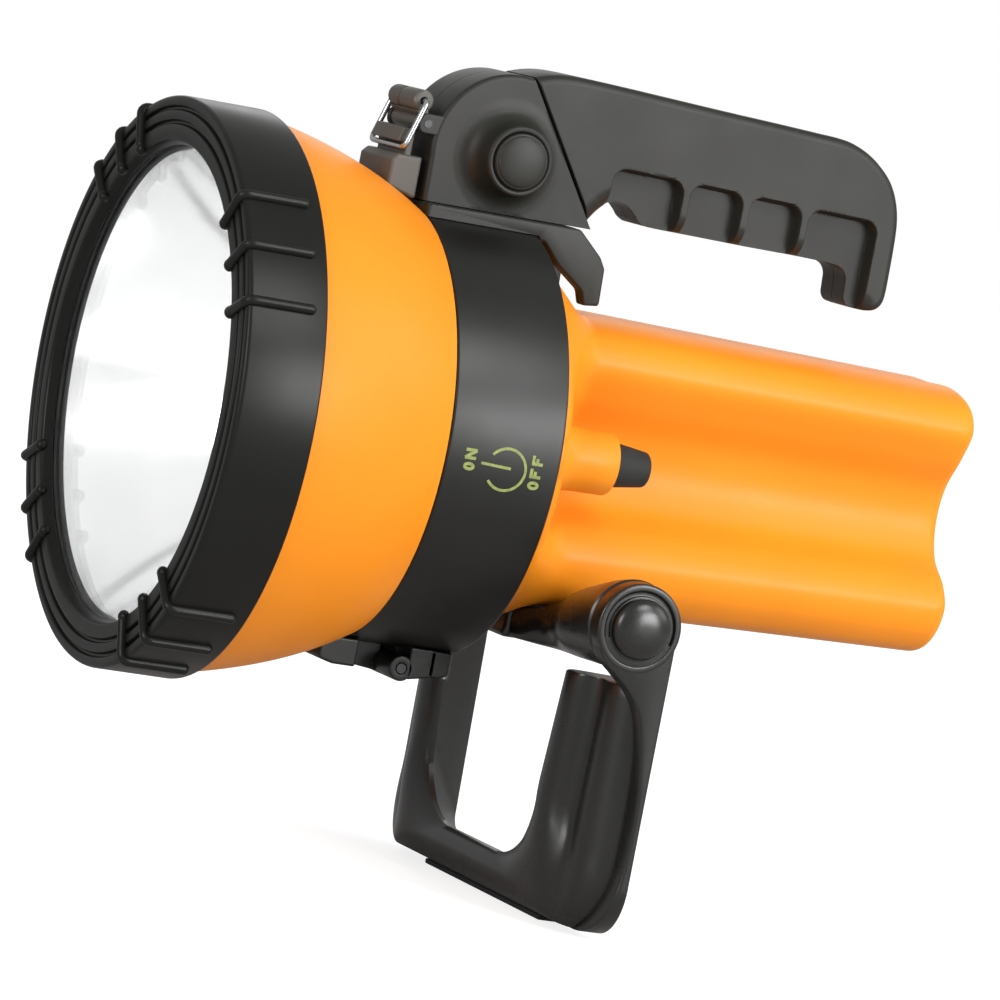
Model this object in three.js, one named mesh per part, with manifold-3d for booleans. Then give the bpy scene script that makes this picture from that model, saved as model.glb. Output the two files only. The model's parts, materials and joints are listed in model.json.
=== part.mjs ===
// Handheld searchlight: a round lamp head clamped by a black collar to a fluted battery body,
// with a swivelling carrying handle above, a wire latch in front of it and a U-shaped stand below.
// Millimetres. +X is the way the beam points, +Y is the lamp's left side, +Z is up.
// The origin is the middle of the underside of the stand's foot pad.
// Places on the lamp are given from the centre of the bezel's front plane, on the beam's axis.
import * as THREE from 'three';
import { mergeVertices } from 'three/addons/utils/BufferGeometryUtils.js';
import Module from 'manifold-3d';

const wasm = await Module();
wasm.setup();

// Clearances
const seatGap = 0.3;
const runGap = 0.4;
const overrun = 3;

// Facets of round pieces
const headFacets = 48;
const pieceFacets = 20;
const smallFacets = 12;
const wireFacets = 6;

// Lamp head
const bezelRadius = 88;
const bezelLength = 25.5;
const bezelFaceThickness = 3.6;
const bezelWall = 3.4;
const bezelFaceWidth = 15;
const faceGrooveDepth = 1.4;
const faceGrooveWidth = 1.6;
const faceEdgeRounding = 1.4;
const ribWidth = 3.2;
const ribHeight = 2;
const ribRearMargin = 4.5;
const ribGroupAngle = 55;
const ribPitchAngle = 11.7;
const ribGroups = 4;
const ribsPerGroup = 3;
const gasketThickness = 1.2;
const lensThickness = 3;
const lensSeatWidth = 7;
const reflectorRimThickness = 1.5;
const reflectorLipWidth = 1;
// Focal length of the bowl as a share of its mouth's radius
const reflectorFocusShare = 5 / 18;
const reflectorWall = 1.6;
const bulbHoleRadius = 9;
const bellWall = 2.8;
const bellShoulderX = -42;
const bellShoulderInset = 5.6;
const bellWaistX = -62;
// How far the bell's waist stands out between the collar and the bezel
const bellWaistShare = 0.38;
const bulbGlassRadius = 5.5;
const bulbGlassLength = 22;
const bulbBaseRadius = 7.6;
const bulbBaseLength = 12;
const bulbBaseProud = 2;
const bulbHolderRadius = 13;
const bulbHolderLength = 16;

// Collar
const bandFrontX = -77;
const bandLength = 37.5;
const bandRadius = 68;
const bandWall = 3.6;
const sealThickness = 1.6;
const sealWidth = 2.6;

// Battery body
const bodyRearX = -270;
const bodyWall = 2.5;
const bodyTop = 43.5;
const bodyBottom = 47.5;
const bodyTaperShare = 0.0722;
const bodyRearRounding = 4;
const neckInset = 10;
const neckEndX = -119;
const bodyStartX = -136;
const spigotLength = 16;
const bodyWaistShare = 0.54;
// Half of the body's outline: share of its half width, then share of its height over or under the axis
const bodyOutlineShares = [
  [0, 1], [0.42, 1], [0.76, 0.9], [0.89, 0.7], [0.77, 0.46], [0.58, 0.2], [bodyWaistShare, -0.06],
  [0.64, -0.28], [0.88, -0.44], [1, -0.62], [0.91, -0.84], [0.64, -0.98], [0, -1],
];
const bodyOutlinePoints = 44;

// Batteries and carrier
const cellRadius = 16.4;
const cellSideRoom = 2.7;
const cellLength = 59;
const cellNubRadius = 4.8;
const cellNubHeight = 1.6;
const upperCellZ = 20;
const lowerCellZ = -24;
const cellFrontX = -132;
const cellGap = 0.6;
const carrierPlate = 2.2;
const carrierSpineHeight = 7;
const carrierSpineWidth = 20;
const carrierHalfWidth = 16.5;
const carrierMargin = 1.8;
const contactPlateThickness = 0.8;
const contactSpringRadius = 5.5;
const contactSpringWire = 0.4;
const contactSpringLength = 10;
const contactSpringCurls = 3;

// Switch
const switchInset = 11;
const switchZ = 1.5;
const switchBossRadius = 9.8;
const switchBossEndX = -139.5;
const switchBoreRadius = 7.6;
const switchBoreDepth = 9;
const switchKnobRadius = 7.1;
const switchKnobTipRadius = 5.2;
const switchKnobLength = 12.6;
const switchTravel = 4;
const switchStemRadius = 3;
const switchBodySize = 17;
const switchBodyLength = 13;
const switchBodyMargin = 2;
const switchBodyShift = 2;

// Handle foot on the collar. Rises and drops are from the collar's outside, straight above the beam
const shoeHalfWidth = 19;
const shoeRise = 1.6;
const shoeFrontX = -76.6;
const shoeRearX = -131;
const shoeBevel = 0.8;
const shoeSeatDepth = 2.4;
const shoeSeatOverhang = 2;
const shoeWebLength = 9;
const hookClearance = 3.5;
const hookThickness = 5.5;
const hookShoulderDrop = 8.6;
const hookLean = 1;
const hookRootWidth = 4;
// How far up from its tip to the neck the hook's root lies
const hookRootShare = 8 / 11;
const hookTabWidth = 6;
const shoePlateThickness = 3.6;

// Handle
const handleWidth = 27;
const handleEdge = 3;
const handleWall = 3;
const knuckleRadius = 25.8;
const knuckleX = -102.3;
const knuckleRise = 19;
const knuckleArcAngle = 98;
const knuckleFootSetback = 2;
const seamTopX = -106.6;
const seamTopRise = 44.6;
const seamBottomX = -134.2;
const seamBottomRise = 2.6;
const splitGap = 0.3;
const bossRootRadius = 16.5;
const bossRimRadius = 10.8;
const bossHeight = 10;
// The flare of a boss: share of its height, then share of the way in from its root to its rim
const bossFlareShares = [[0.05, 0.3], [0.25, 0.65], [0.55, 0.9], [1, 1]];
const buttonRadius = 8.8;
const buttonLength = 14;
const buttonStemRadius = 3;
const buttonStemLength = 9;
const buttonProud = 2.4;
const buttonDomeHeight = 1.6;
const buttonTravel = 3;
const buttonSpringRadius = 4.6;
const buttonSpringWire = 0.5;
const buttonSpringCurls = 4;
const gripTopRearX = -217;
const gripTopRearRise = 43.4;
const gripTopRounding = 26;
const gripHumpX = -130;
const gripHumpRise = 47.4;
const gripHumpRounding = 20;
const gripRearX = -239.5;
const gripRearLean = 1;
const gripCornerRise = 32.3;
const gripCornerRounding = 20;
const gripToeDrop = 8.5;
const gripToeLength = 14;
const gripToeTaper = 1;
const gripToeRounding = 5;
const gripUndersideRise = 4.5;
const gripUndersideLean = 1;
const gripInnerRounding = 3;
const gripArchTopRise = 11.5;
const gripArchFrontX = -139.5;
const gripArchRearX = -147.5;
const gripArchEndX = -152.8;
const gripArchRounding = 4;
const gripLipRise = 2.5;
const gripLipRounding = 2;
const gripRoomRounding = 2;
const frontScrewX = -145.1;
const frontScrewRise = 37.8;
const rearScrewX = -231.5;
const rearScrewRise = 29;
const pocketDepth = 5;
const pocketFrontX = -139;
const pocketTopRise = 21.9;
const pocketTopFall = 0.6;
const pocketEndLength = 23.6;
const pocketLength = 17.5;
const pocketRidge = 3.3;
const pocketCount = 4;
const pocketCorner = 3.5;
const spoolFlangeReach = 3.5;
const spoolFlangeMargin = 1;
const spoolFlangeThickness = 2.4;
const washerThickness = 1;
const screwHeadRadius = 3.2;
const screwHeadHeight = 1.8;
const screwLength = 14;
const screwShankRadius = 1.5;

// Latch
const latchLeverX = -74;
const latchLeverRise = 25;
const latchBarrelX = -72.3;
const latchBarrelRise = 31.6;
const latchBarrelRadius = 3.4;
const latchBarrelMargin = 2.5;
const latchPlateThickness = 2.4;
const latchPinRadius = 1.3;
const latchFootWall = 1.2;
const latchEarRadius = 3;
const latchEarWidth = 2;
const latchEarRoot = 5;
const latchNotchStart = 2;
const latchNotchWidth = 1.2;
const bailWireRadius = 0.9;
const bailHookX = -67.5;
const bailHookRise = 2.1;
const bailEndLength = 7;
const bailCornerRadius = 2.4;
const catchFrontX = -64.5;
const catchRearX = -74.5;
const catchRise = 7;
const catchSideMargin = 0.5;
const catchHookSideMargin = 2.4;
const catchHookHeight = 7.2;
const catchLipThickness = 1.8;
const catchLipHeight = 3.6;
const catchLipReach = 5;
const catchPostThickness = 2.4;

// Hinge under the head
const hingeX = -97;
const hingeDrop = 5;
const hingeBarrelRadius = 4;
const hingeHalfLength = 19;
const hingeKnuckle = 12;
const hingePinRadius = 1.6;
const hingeLeafThickness = 3;
const hingeSpineShare = 0.45;
const hingeFrontLeafX = -69;
const hingeRearLeafX = -113;

// Stand
const pivotX = -142.5;
const pivotZ = -43.3;
const eyeRadius = 13.8;
const eyeThickness = 6.5;
const standHalfWidth = 86;
const standInnerHalfWidth = 53;
const standBottomZ = -138.8;
const standRearX = -155.5;
const standPlateThickness = 9;
const standBeadFrontX = -136.5;
const standBeadWidth = 10;
const standBarTopZ = -127;
const standArmTopZ = -62;
const standOuterCorner = 16;
const standInnerCorner = 13;
const standStripRounding = 3;
const footPadLength = 92;
const footPadDepth = 8;
const footPadInset = 1.5;
const footPadThickness = 1.7;
// Front edge of the outer strip of an arm, from under the eye down: forward of the rear edge, as a share
// of the eye's width, then the share of the way down to the bottom
const standStripShares = [[0.5, 0.19], [0.3, 0.37], [0.17, 0.568], [0.2, 0.82], [0.36, 1]];
const bracketTopZ = -48.2;
const bracketBottomZ = -58.4;
const bracketFrontX = -126;
const bracketRearX = -159;
const bracketHalfWidth = 24;
const bossRadius = 14.2;
const pivotBoltRadius = 3.2;
const pivotBoltLength = 26;
const pivotCapRadius = 9.4;
const pivotCapHeight = 4.6;

// Worked-out places
const degree = Math.PI / 180;
const lensOpeningRadius = bezelRadius - bezelFaceWidth;
const lensRadius = lensOpeningRadius + lensSeatWidth;
const reflectorMouthRadius = lensOpeningRadius - reflectorLipWidth;
const reflectorFocus = reflectorMouthRadius * reflectorFocusShare;
const bellShoulderRadius = bezelRadius - bellShoulderInset;
const bellWaistRadius = bandRadius + (bezelRadius - bandRadius) * bellWaistShare;
const neckRadius = bandRadius - neckInset;
const switchY = neckRadius - switchInset;
const bodyHalfWidth = (cellRadius + bodyWall + cellSideRoom) / bodyWaistShare;
const shoeTopZ = bandRadius + shoeRise;
const hookTipZ = bodyTop + hookClearance;
const knuckleZ = bandRadius + knuckleRise;
const seamTopZ = bandRadius + seamTopRise;
const seamBottomZ = bandRadius + seamBottomRise;
const gripTopRearZ = bandRadius + gripTopRearRise;
const gripHumpZ = bandRadius + gripHumpRise;
const gripCornerZ = bandRadius + gripCornerRise;
const gripToeZ = bandRadius - gripToeDrop;
const gripUndersideZ = bandRadius + gripUndersideRise;
const gripArchTopZ = bandRadius + gripArchTopRise;
const pocketTopZ = bandRadius + pocketTopRise;
const spoolFlangeRadius = handleWidth / 2 - handleWall - spoolFlangeMargin;
const spoolRadius = spoolFlangeRadius - spoolFlangeReach;
const latchLeverZ = bandRadius + latchLeverRise;
const latchBarrelZ = bandRadius + latchBarrelRise;
const latchBarrelLength = handleWidth - 2 * latchBarrelMargin;
const catchTopZ = bellWaistRadius + catchRise;
const catchHookTopZ = catchTopZ + catchHookHeight;
const catchHalfWidth = handleWidth / 2 - catchSideMargin;
const catchHookHalfWidth = handleWidth / 2 - catchHookSideMargin;
const bailHookZ = catchTopZ + bailHookRise;
const bailWidth = handleWidth + runGap;
const hingeZ = -bandRadius - hingeDrop;
const bandRearX = bandFrontX - bandLength;
const seamX = (seamTopX + seamBottomX) / 2;
const seamZ = (seamTopZ + seamBottomZ) / 2;
const seamLength = Math.hypot(seamTopX - seamBottomX, seamTopZ - seamBottomZ);
const seamNormal = new THREE.Vector3(
  -(seamTopZ - seamBottomZ) / seamLength, 0, (seamTopX - seamBottomX) / seamLength);
const eyeOuterY = standHalfWidth;
const eyeInnerY = standHalfWidth - eyeThickness;
const footPadBottomZ = standBottomZ - seatGap - footPadThickness;
const footPadX = standRearX + footPadInset + footPadDepth / 2;
const lampPlace = new THREE.Vector3(-footPadX, 0, -footPadBottomZ);

// Materials
const orange = { color: 0xf99a26, roughness: 0.42, metalness: 0 };
const black = { color: 0x2b2b29, roughness: 0.55, metalness: 0 };
const rubber = { color: 0x1b1b1a, roughness: 0.8, metalness: 0 };
const clear = { color: 0xe8eef0, roughness: 0.05, metalness: 0, transparent: true, opacity: 0.35 };
const silver = { color: 0xdfe2e4, roughness: 0.08, metalness: 1 };
const steel = { color: 0xb9bcbe, roughness: 0.3, metalness: 1 };
const brass = { color: 0xc9a24a, roughness: 0.35, metalness: 1 };
const cellCover = { color: 0x3d4a52, roughness: 0.45, metalness: 0.3 };

// The finished parts
const lamp = new THREE.Group();
lamp.position.copy(lampPlace);

// Solids
function signedVolume(geometry) {
  const place = geometry.attributes.position;
  const index = geometry.index;
  const corners = [new THREE.Vector3(), new THREE.Vector3(), new THREE.Vector3()];
  let volume = 0;
  for (let i = 0; i < index.count; i += 3) {
    corners.forEach((corner, k) => corner.fromBufferAttribute(place, index.getX(i + k)));
    volume += corners[0].dot(corners[1].clone().cross(corners[2])) / 6;
  }
  return volume;
}

// A closed shape as a solid, turned to face outwards
function solidOf(geometry) {
  const bare = geometry.clone();
  bare.deleteAttribute('normal');
  bare.deleteAttribute('uv');
  const merged = mergeVertices(bare, 1e-4);
  const triangles = Uint32Array.from(merged.index.array);
  if (signedVolume(merged) < 0) {
    for (let i = 0; i < triangles.length; i += 3) {
      [triangles[i], triangles[i + 1]] = [triangles[i + 1], triangles[i]];
    }
  }
  const places = Float32Array.from(merged.attributes.position.array);
  return new wasm.Manifold(new wasm.Mesh({ numProp: 3, vertProperties: places, triVerts: triangles }));
}

function asSolid(shape) {
  return shape.isBufferGeometry ? solidOf(shape) : shape;
}

function join(...shapes) {
  return shapes.map(asSolid).reduce((whole, piece) => whole.add(piece));
}

function cut(shape, ...tools) {
  return tools.map(asSolid).reduce((whole, tool) => whole.subtract(tool), asSolid(shape));
}

function common(shape, other) {
  return asSolid(shape).intersect(asSolid(other));
}

function addPart(name, shape, look) {
  const result = asSolid(shape).getMesh();
  const geometry = new THREE.BufferGeometry();
  geometry.setAttribute('position', new THREE.BufferAttribute(Float32Array.from(result.vertProperties), 3));
  geometry.setIndex(new THREE.BufferAttribute(Uint32Array.from(result.triVerts), 1));
  geometry.computeVertexNormals();
  const mesh = new THREE.Mesh(geometry, new THREE.MeshStandardMaterial(look));
  mesh.name = name;
  lamp.add(mesh);
}

// Shapes
function block(x0, x1, y0, y1, z0, z1) {
  const geometry = new THREE.BoxGeometry(Math.abs(x1 - x0), Math.abs(y1 - y0), Math.abs(z1 - z0));
  return geometry.translate((x0 + x1) / 2, (y0 + y1) / 2, (z0 + z1) / 2);
}

// A bar from one point to another, with its own radius at each end
function bar(from, to, radiusFrom, radiusTo = radiusFrom, facets = pieceFacets) {
  const start = new THREE.Vector3(...from);
  const way = new THREE.Vector3(...to).sub(start);
  const geometry = new THREE.CylinderGeometry(radiusTo, radiusFrom, way.length(), facets);
  geometry.translate(0, way.length() / 2, 0);
  geometry.applyQuaternion(new THREE.Quaternion().setFromUnitVectors(
    new THREE.Vector3(0, 1, 0), way.clone().normalize()));
  return geometry.translate(start.x, start.y, start.z);
}

// A turned shape about the beam's axis, from a list of place along the axis and radius
function turned(profile, facets = headFacets) {
  const points = profile.map(([x, radius]) => new THREE.Vector2(radius, x));
  const geometry = new THREE.LatheGeometry(points, facets);
  return geometry.rotateZ(-Math.PI / 2);
}

// A ring about the beam's axis: the profile closes on itself
function turnedRing(profile, facets = headFacets) {
  return turned([...profile, profile[0]], facets);
}

function ring(x0, x1, innerRadius, outerRadius, facets = headFacets) {
  return turnedRing([[x0, innerRadius], [x0, outerRadius], [x1, outerRadius], [x1, innerRadius]], facets);
}

// An outline with rounded corners: each point is across, up and the corner's radius
function outline(points, steps = 4) {
  const shape = new THREE.Shape();
  points.forEach(([u, v, radius], i) => {
    const corner = new THREE.Vector2(u, v);
    const before = new THREE.Vector2(...points[(i + points.length - 1) % points.length]).sub(corner);
    const after = new THREE.Vector2(...points[(i + 1) % points.length]).sub(corner);
    const half = Math.acos(before.dot(after) / before.length() / after.length()) / 2;
    const wanted = radius / Math.tan(half);
    const reach = Math.min(wanted, before.length() * 0.48, after.length() * 0.48);
    const start = corner.clone().addScaledVector(before.normalize(), reach);
    const end = corner.clone().addScaledVector(after.normalize(), reach);
    if (i === 0) shape.moveTo(start.x, start.y);
    else shape.lineTo(start.x, start.y);
    for (let k = 1; radius > 0 && k <= steps; k += 1) {
      const t = k / steps;
      const w = [(1 - t) * (1 - t), 2 * t * (1 - t), t * t];
      shape.lineTo(
        w[0] * start.x + w[1] * corner.x + w[2] * end.x,
        w[0] * start.y + w[1] * corner.y + w[2] * end.y);
    }
  });
  shape.closePath();
  return shape;
}

function extruded(shape, depth, edge, edgeSteps) {
  return new THREE.ExtrudeGeometry(shape, {
    depth: depth - 2 * edge,
    bevelEnabled: edge > 0,
    bevelThickness: edge,
    bevelSize: edge,
    bevelOffset: -edge,
    bevelSegments: edgeSteps,
    curveSegments: 6,
    steps: 1,
  }).translate(0, 0, edge);
}

// A slab with its outline seen from the side, across from y0 to y1
function sideSlab(shape, y0, y1, edge = 0, edgeSteps = 2) {
  const turn = new THREE.Matrix4().makeBasis(
    new THREE.Vector3(1, 0, 0), new THREE.Vector3(0, 0, 1), new THREE.Vector3(0, -1, 0));
  return extruded(shape, y1 - y0, edge, edgeSteps).applyMatrix4(turn).translate(0, y1, 0);
}

// A slab with its outline seen from the front, from x0 forward to x1
function frontSlab(shape, x0, x1, edge = 0, edgeSteps = 2) {
  const turn = new THREE.Matrix4().makeBasis(
    new THREE.Vector3(0, 1, 0), new THREE.Vector3(0, 0, 1), new THREE.Vector3(1, 0, 0));
  return extruded(shape, x1 - x0, edge, edgeSteps).applyMatrix4(turn).translate(x0, 0, 0);
}

// A skin over rings of points, closed at both ends
function skinned(rings) {
  const count = rings[0].length;
  const places = rings.flat().flatMap((point) => [point.x, point.y, point.z]);
  const triangles = [];
  for (let i = 0; i + 1 < rings.length; i += 1) {
    for (let j = 0; j < count; j += 1) {
      const a = i * count + j;
      const b = i * count + ((j + 1) % count);
      triangles.push(a, b, a + count, b, b + count, a + count);
    }
  }
  for (const end of [0, rings.length - 1]) {
    const centre = rings[end].reduce((sum, point) => sum.add(point), new THREE.Vector3()).divideScalar(count);
    const middle = places.length / 3;
    places.push(centre.x, centre.y, centre.z);
    for (let j = 0; j < count; j += 1) {
      const a = end * count + j;
      const b = end * count + ((j + 1) % count);
      triangles.push(...(end === 0 ? [b, a, middle] : [a, b, middle]));
    }
  }
  const geometry = new THREE.BufferGeometry();
  geometry.setAttribute('position', new THREE.Float32BufferAttribute(places, 3));
  geometry.setIndex(triangles);
  return geometry;
}

// A round wire along a curve
function wire(curve, radius, steps, facets = wireFacets) {
  const circle = new THREE.Shape();
  for (let k = 0; k < facets; k += 1) {
    const angle = (k / facets) * 2 * Math.PI;
    const point = [radius * Math.cos(angle), radius * Math.sin(angle)];
    if (k === 0) circle.moveTo(...point);
    else circle.lineTo(...point);
  }
  circle.closePath();
  return new THREE.ExtrudeGeometry(circle, { steps, extrudePath: curve, bevelEnabled: false });
}

// A coil spring: curls about an axis from start along way, its ends cut square
class CoilCurve extends THREE.Curve {
  constructor(start, way, across, radius, curls) {
    super();
    this.start = start;
    this.way = way;
    this.across = across.clone().normalize();
    this.over = way.clone().normalize().cross(this.across);
    this.radius = radius;
    this.curls = curls;
  }

  getPoint(t, target = new THREE.Vector3()) {
    const angle = t * this.curls * 2 * Math.PI;
    return target.copy(this.start)
      .addScaledVector(this.way, t)
      .addScaledVector(this.across, this.radius * Math.cos(angle))
      .addScaledVector(this.over, this.radius * Math.sin(angle));
  }
}

function coilSpring(start, way, across, radius, wireRadius, curls) {
  const curve = new CoilCurve(start, way, across, radius, curls);
  return wire(curve, wireRadius, curls * 8, 5);
}

// Lamp head
const bezelBore = bezelRadius - bezelWall;
const lensSeatX = -bezelFaceThickness - gasketThickness - seatGap;
const lensRearX = lensSeatX - seatGap - lensThickness;
const reflectorRimX = lensRearX - seatGap;
const bellFrontX = reflectorRimX - reflectorRimThickness - seatGap;
const bellFrontRadius = bezelBore - seatGap;

function bezelRing() {
  const grooves = [bezelRadius - 2.2 * faceEdgeRounding, (bezelRadius + lensOpeningRadius) / 2];
  const face = grooves.flatMap((radius) => [
    [0, radius],
    [-faceGrooveDepth, radius - faceGrooveWidth / 4],
    [-faceGrooveDepth, radius - faceGrooveWidth * 3 / 4],
    [0, radius - faceGrooveWidth],
  ]);
  const profile = [
    [-bezelLength, bezelBore],
    [-bezelLength, bezelRadius - faceEdgeRounding],
    [-bezelLength + faceEdgeRounding, bezelRadius],
    [-faceEdgeRounding, bezelRadius],
    [0, bezelRadius - faceEdgeRounding],
    ...face,
    [0, lensOpeningRadius + faceEdgeRounding],
    [-bezelFaceThickness, lensOpeningRadius],
    [-bezelFaceThickness, lensRadius + runGap],
    [bellFrontX + overrun, lensRadius + runGap],
    [bellFrontX + overrun, bezelBore],
  ];
  return [turnedRing(profile), ...bezelRibs()];
}

// Grip ribs: bars along the bezel's wall that turn over its front face and end in a bead at the lens
function bezelRibs() {
  const ribs = [];
  for (let group = 0; group < ribGroups; group += 1) {
    for (let k = 0; k < ribsPerGroup; k += 1) {
      const turn = ribGroupAngle + group * 360 / ribGroups + (k - (ribsPerGroup - 1) / 2) * ribPitchAngle;
      const half = ribWidth / 2;
      const top = bezelRadius + ribHeight;
      const root = bezelRadius - bezelWall / 2;
      const rib = outline([
        [-bezelLength + ribRearMargin, root, 0],
        [-bezelLength + ribRearMargin, top, ribHeight / 2],
        [ribHeight, top, ribHeight],
        [ribHeight, lensOpeningRadius - ribHeight / 2, ribHeight / 2],
        [-bezelFaceThickness / 2, lensOpeningRadius - ribHeight / 2, 0],
        [-bezelFaceThickness / 2, root, 0],
      ], 2);
      ribs.push(sideSlab(rib, -half, half).rotateX(-turn * degree));
    }
  }
  return ribs;
}

function reflector() {
  const vertexX = reflectorRimX - reflectorMouthRadius ** 2 / (4 * reflectorFocus);
  const steps = 9;
  const bowl = [];
  for (let i = 0; i <= steps; i += 1) {
    const radius = bulbHoleRadius + (reflectorMouthRadius - bulbHoleRadius) * i / steps;
    bowl.push([vertexX + radius ** 2 / (4 * reflectorFocus), radius]);
  }
  const back = bowl.map(([x, radius]) => [x - reflectorWall, radius]).slice(0, -1).reverse();
  return turnedRing([
    ...bowl,
    [reflectorRimX, lensRadius],
    [reflectorRimX - reflectorRimThickness, lensRadius],
    [reflectorRimX - reflectorRimThickness, reflectorMouthRadius],
    ...back,
  ]);
}

const reflectorVertexX = reflectorRimX - reflectorMouthRadius ** 2 / (4 * reflectorFocus);
const bulbHoleX = reflectorVertexX + bulbHoleRadius ** 2 / (4 * reflectorFocus);
const bulbBaseFrontX = bulbHoleX + bulbBaseProud;
const bulbBaseRearX = bulbBaseFrontX - bulbBaseLength;

function bulbParts() {
  const glassFront = bulbBaseFrontX + seatGap + bulbGlassLength;
  addPart('bulb_glass', turned([
    [bulbBaseFrontX + seatGap, 0],
    [bulbBaseFrontX + seatGap, bulbGlassRadius],
    [glassFront - bulbGlassRadius, bulbGlassRadius],
    [glassFront - bulbGlassRadius / 3, bulbGlassRadius * 0.75],
    [glassFront, 0],
  ], pieceFacets), clear);
  addPart('bulb_base', bar([bulbBaseRearX, 0, 0], [bulbBaseFrontX, 0, 0], bulbBaseRadius), brass);
  const holderFrontX = bulbHoleX - reflectorWall - seatGap;
  const holder = bar([holderFrontX - bulbHolderLength, 0, 0], [holderFrontX, 0, 0], bulbHolderRadius);
  const socket = bar([bulbBaseRearX - seatGap, 0, 0], [holderFrontX + overrun, 0, 0],
    bulbBaseRadius + seatGap);
  addPart('bulb_holder', cut(holder, socket), black);
}

const spigotRadius = bandRadius - bandWall - seatGap;
const spigotEndX = bandFrontX - spigotLength;
const sealFrontX = spigotEndX - seatGap;
const sealRearX = sealFrontX - sealThickness;

function frontHousing() {
  const outside = [
    [bellFrontX, bellFrontRadius],
    [-bezelLength - seatGap, bellFrontRadius],
    [-bezelLength - seatGap, bellFrontRadius + bezelWall / 2],
    [bellShoulderX, bellShoulderRadius],
    [(bellShoulderX + bellWaistX) / 2, (bellShoulderRadius + bellWaistRadius) / 2 + bellWall / 3],
    [bellWaistX, bellWaistRadius],
    [bandFrontX + seatGap, bandRadius],
    [bandFrontX + seatGap, spigotRadius],
    [spigotEndX, spigotRadius],
  ];
  const inside = [
    [spigotEndX, spigotRadius - bellWall],
    [bandFrontX + seatGap, spigotRadius - bellWall],
    [bellWaistX, bellWaistRadius - bellWall],
    [bellShoulderX, bellShoulderRadius - bellWall],
    [bellFrontX, bellFrontRadius - 2 * bellWall],
  ];
  return turnedRing([...outside, ...inside]);
}

function lampHead() {
  const [rim, ...ribs] = bezelRing();
  addPart('bezel_ring', join(rim, ...ribs), black);
  addPart('lens_gasket', ring(-bezelFaceThickness - seatGap, lensSeatX, lensOpeningRadius + seatGap,
    lensRadius), rubber);
  addPart('lens', bar([lensRearX, 0, 0], [lensSeatX - seatGap, 0, 0], lensRadius, lensRadius, headFacets),
    clear);
  addPart('reflector', reflector(), silver);
  bulbParts();
  addPart('front_housing', frontHousing(), orange);
  addPart('head_seal', ring(sealRearX, sealFrontX, spigotRadius - sealWidth, spigotRadius), rubber);
}

// Latch catch on the front housing: a block with a lip that hooks over the wire
function latchCatch() {
  const side = outline([
    [catchRearX, bandRadius, 0],
    [catchFrontX, bandRadius, 0],
    [catchFrontX, catchTopZ - 2 * catchLipThickness, 0],
    [catchFrontX - catchLipThickness, catchTopZ, 0],
    [catchRearX, catchTopZ, 0],
  ]);
  const postX = bailHookX - bailWireRadius - runGap;
  const hook = outline([
    [postX - catchPostThickness, catchTopZ - catchLipThickness, 0],
    [postX - catchPostThickness, catchHookTopZ, catchLipThickness],
    [postX + catchLipReach - catchPostThickness, catchHookTopZ, 0],
    [postX + catchLipReach - catchPostThickness, catchHookTopZ - catchLipHeight, 0],
    [postX, catchHookTopZ - catchLipHeight, 0],
    [postX, catchTopZ - catchLipThickness, 0],
  ], 2);
  const bell = turned([
    [bandFrontX - overrun, 0],
    [bandFrontX - overrun, bandRadius + seatGap],
    [bandFrontX + seatGap, bandRadius + seatGap],
    [bellWaistX, bellWaistRadius + seatGap],
    [(bellShoulderX + bellWaistX) / 2, (bellShoulderRadius + bellWaistRadius) / 2 + bellWall / 3 + seatGap],
    [(bellShoulderX + bellWaistX) / 2, 0],
  ]);
  return cut(join(
    sideSlab(side, -catchHalfWidth, catchHalfWidth),
    sideSlab(hook, -catchHookHalfWidth, catchHookHalfWidth)), bell);
}

// Collar
function band() {
  return turnedRing([
    [bandRearX, bandRadius - bandWall],
    [bandRearX, bandRadius - seatGap],
    [bandRearX + 1.5 * seatGap, bandRadius],
    [bandFrontX - 1.5 * seatGap, bandRadius],
    [bandFrontX, bandRadius - seatGap],
    [bandFrontX, bandRadius - bandWall],
  ]);
}

// Hinge under the head: a leaf on the front housing, a leaf on the collar and the pin between
function hingeLeaf(endX, barrels, clearOf) {
  const barrelParts = barrels.map(([y0, y1]) => bar([hingeX, y0, hingeZ], [hingeX, y1, hingeZ],
    hingeBarrelRadius, hingeBarrelRadius, smallFacets));
  const underZ = hingeZ - hingeLeafThickness / 2;
  const seatZ = overrun - bandRadius;
  const plateParts = barrels.map(([y0, y1]) => block(endX, hingeX, y0, y1, underZ, seatZ));
  const spine = block(endX, endX + (hingeX - endX) * hingeSpineShare, -hingeHalfLength, hingeHalfLength,
    underZ, seatZ);
  const boreEnd = hingeHalfLength + overrun;
  const pinBore = bar([hingeX, -boreEnd, hingeZ], [hingeX, boreEnd, hingeZ], hingePinRadius + seatGap,
    hingePinRadius + seatGap, smallFacets);
  return cut(join(spine, ...plateParts, ...barrelParts), pinBore, clearOf);
}

function headHinge() {
  const middle = hingeKnuckle / 2;
  const clearance = turned([
    [bandRearX - overrun, 0],
    [bandRearX - overrun, bandRadius + seatGap],
    [bandFrontX + seatGap, bandRadius + seatGap],
    [bellWaistX, bellWaistRadius + seatGap],
    [bellWaistX, 0],
  ]);
  addPart('hinge_front_leaf', hingeLeaf(hingeFrontLeafX, [[-middle, middle]], clearance), black);
  addPart('hinge_rear_leaf', hingeLeaf(hingeRearLeafX, [
    [-hingeHalfLength, -middle - runGap],
    [middle + runGap, hingeHalfLength],
  ], clearance), black);
  addPart('hinge_pin', bar([hingeX, -hingeHalfLength, hingeZ], [hingeX, hingeHalfLength, hingeZ],
    hingePinRadius, hingePinRadius, smallFacets), steel);
}

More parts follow.
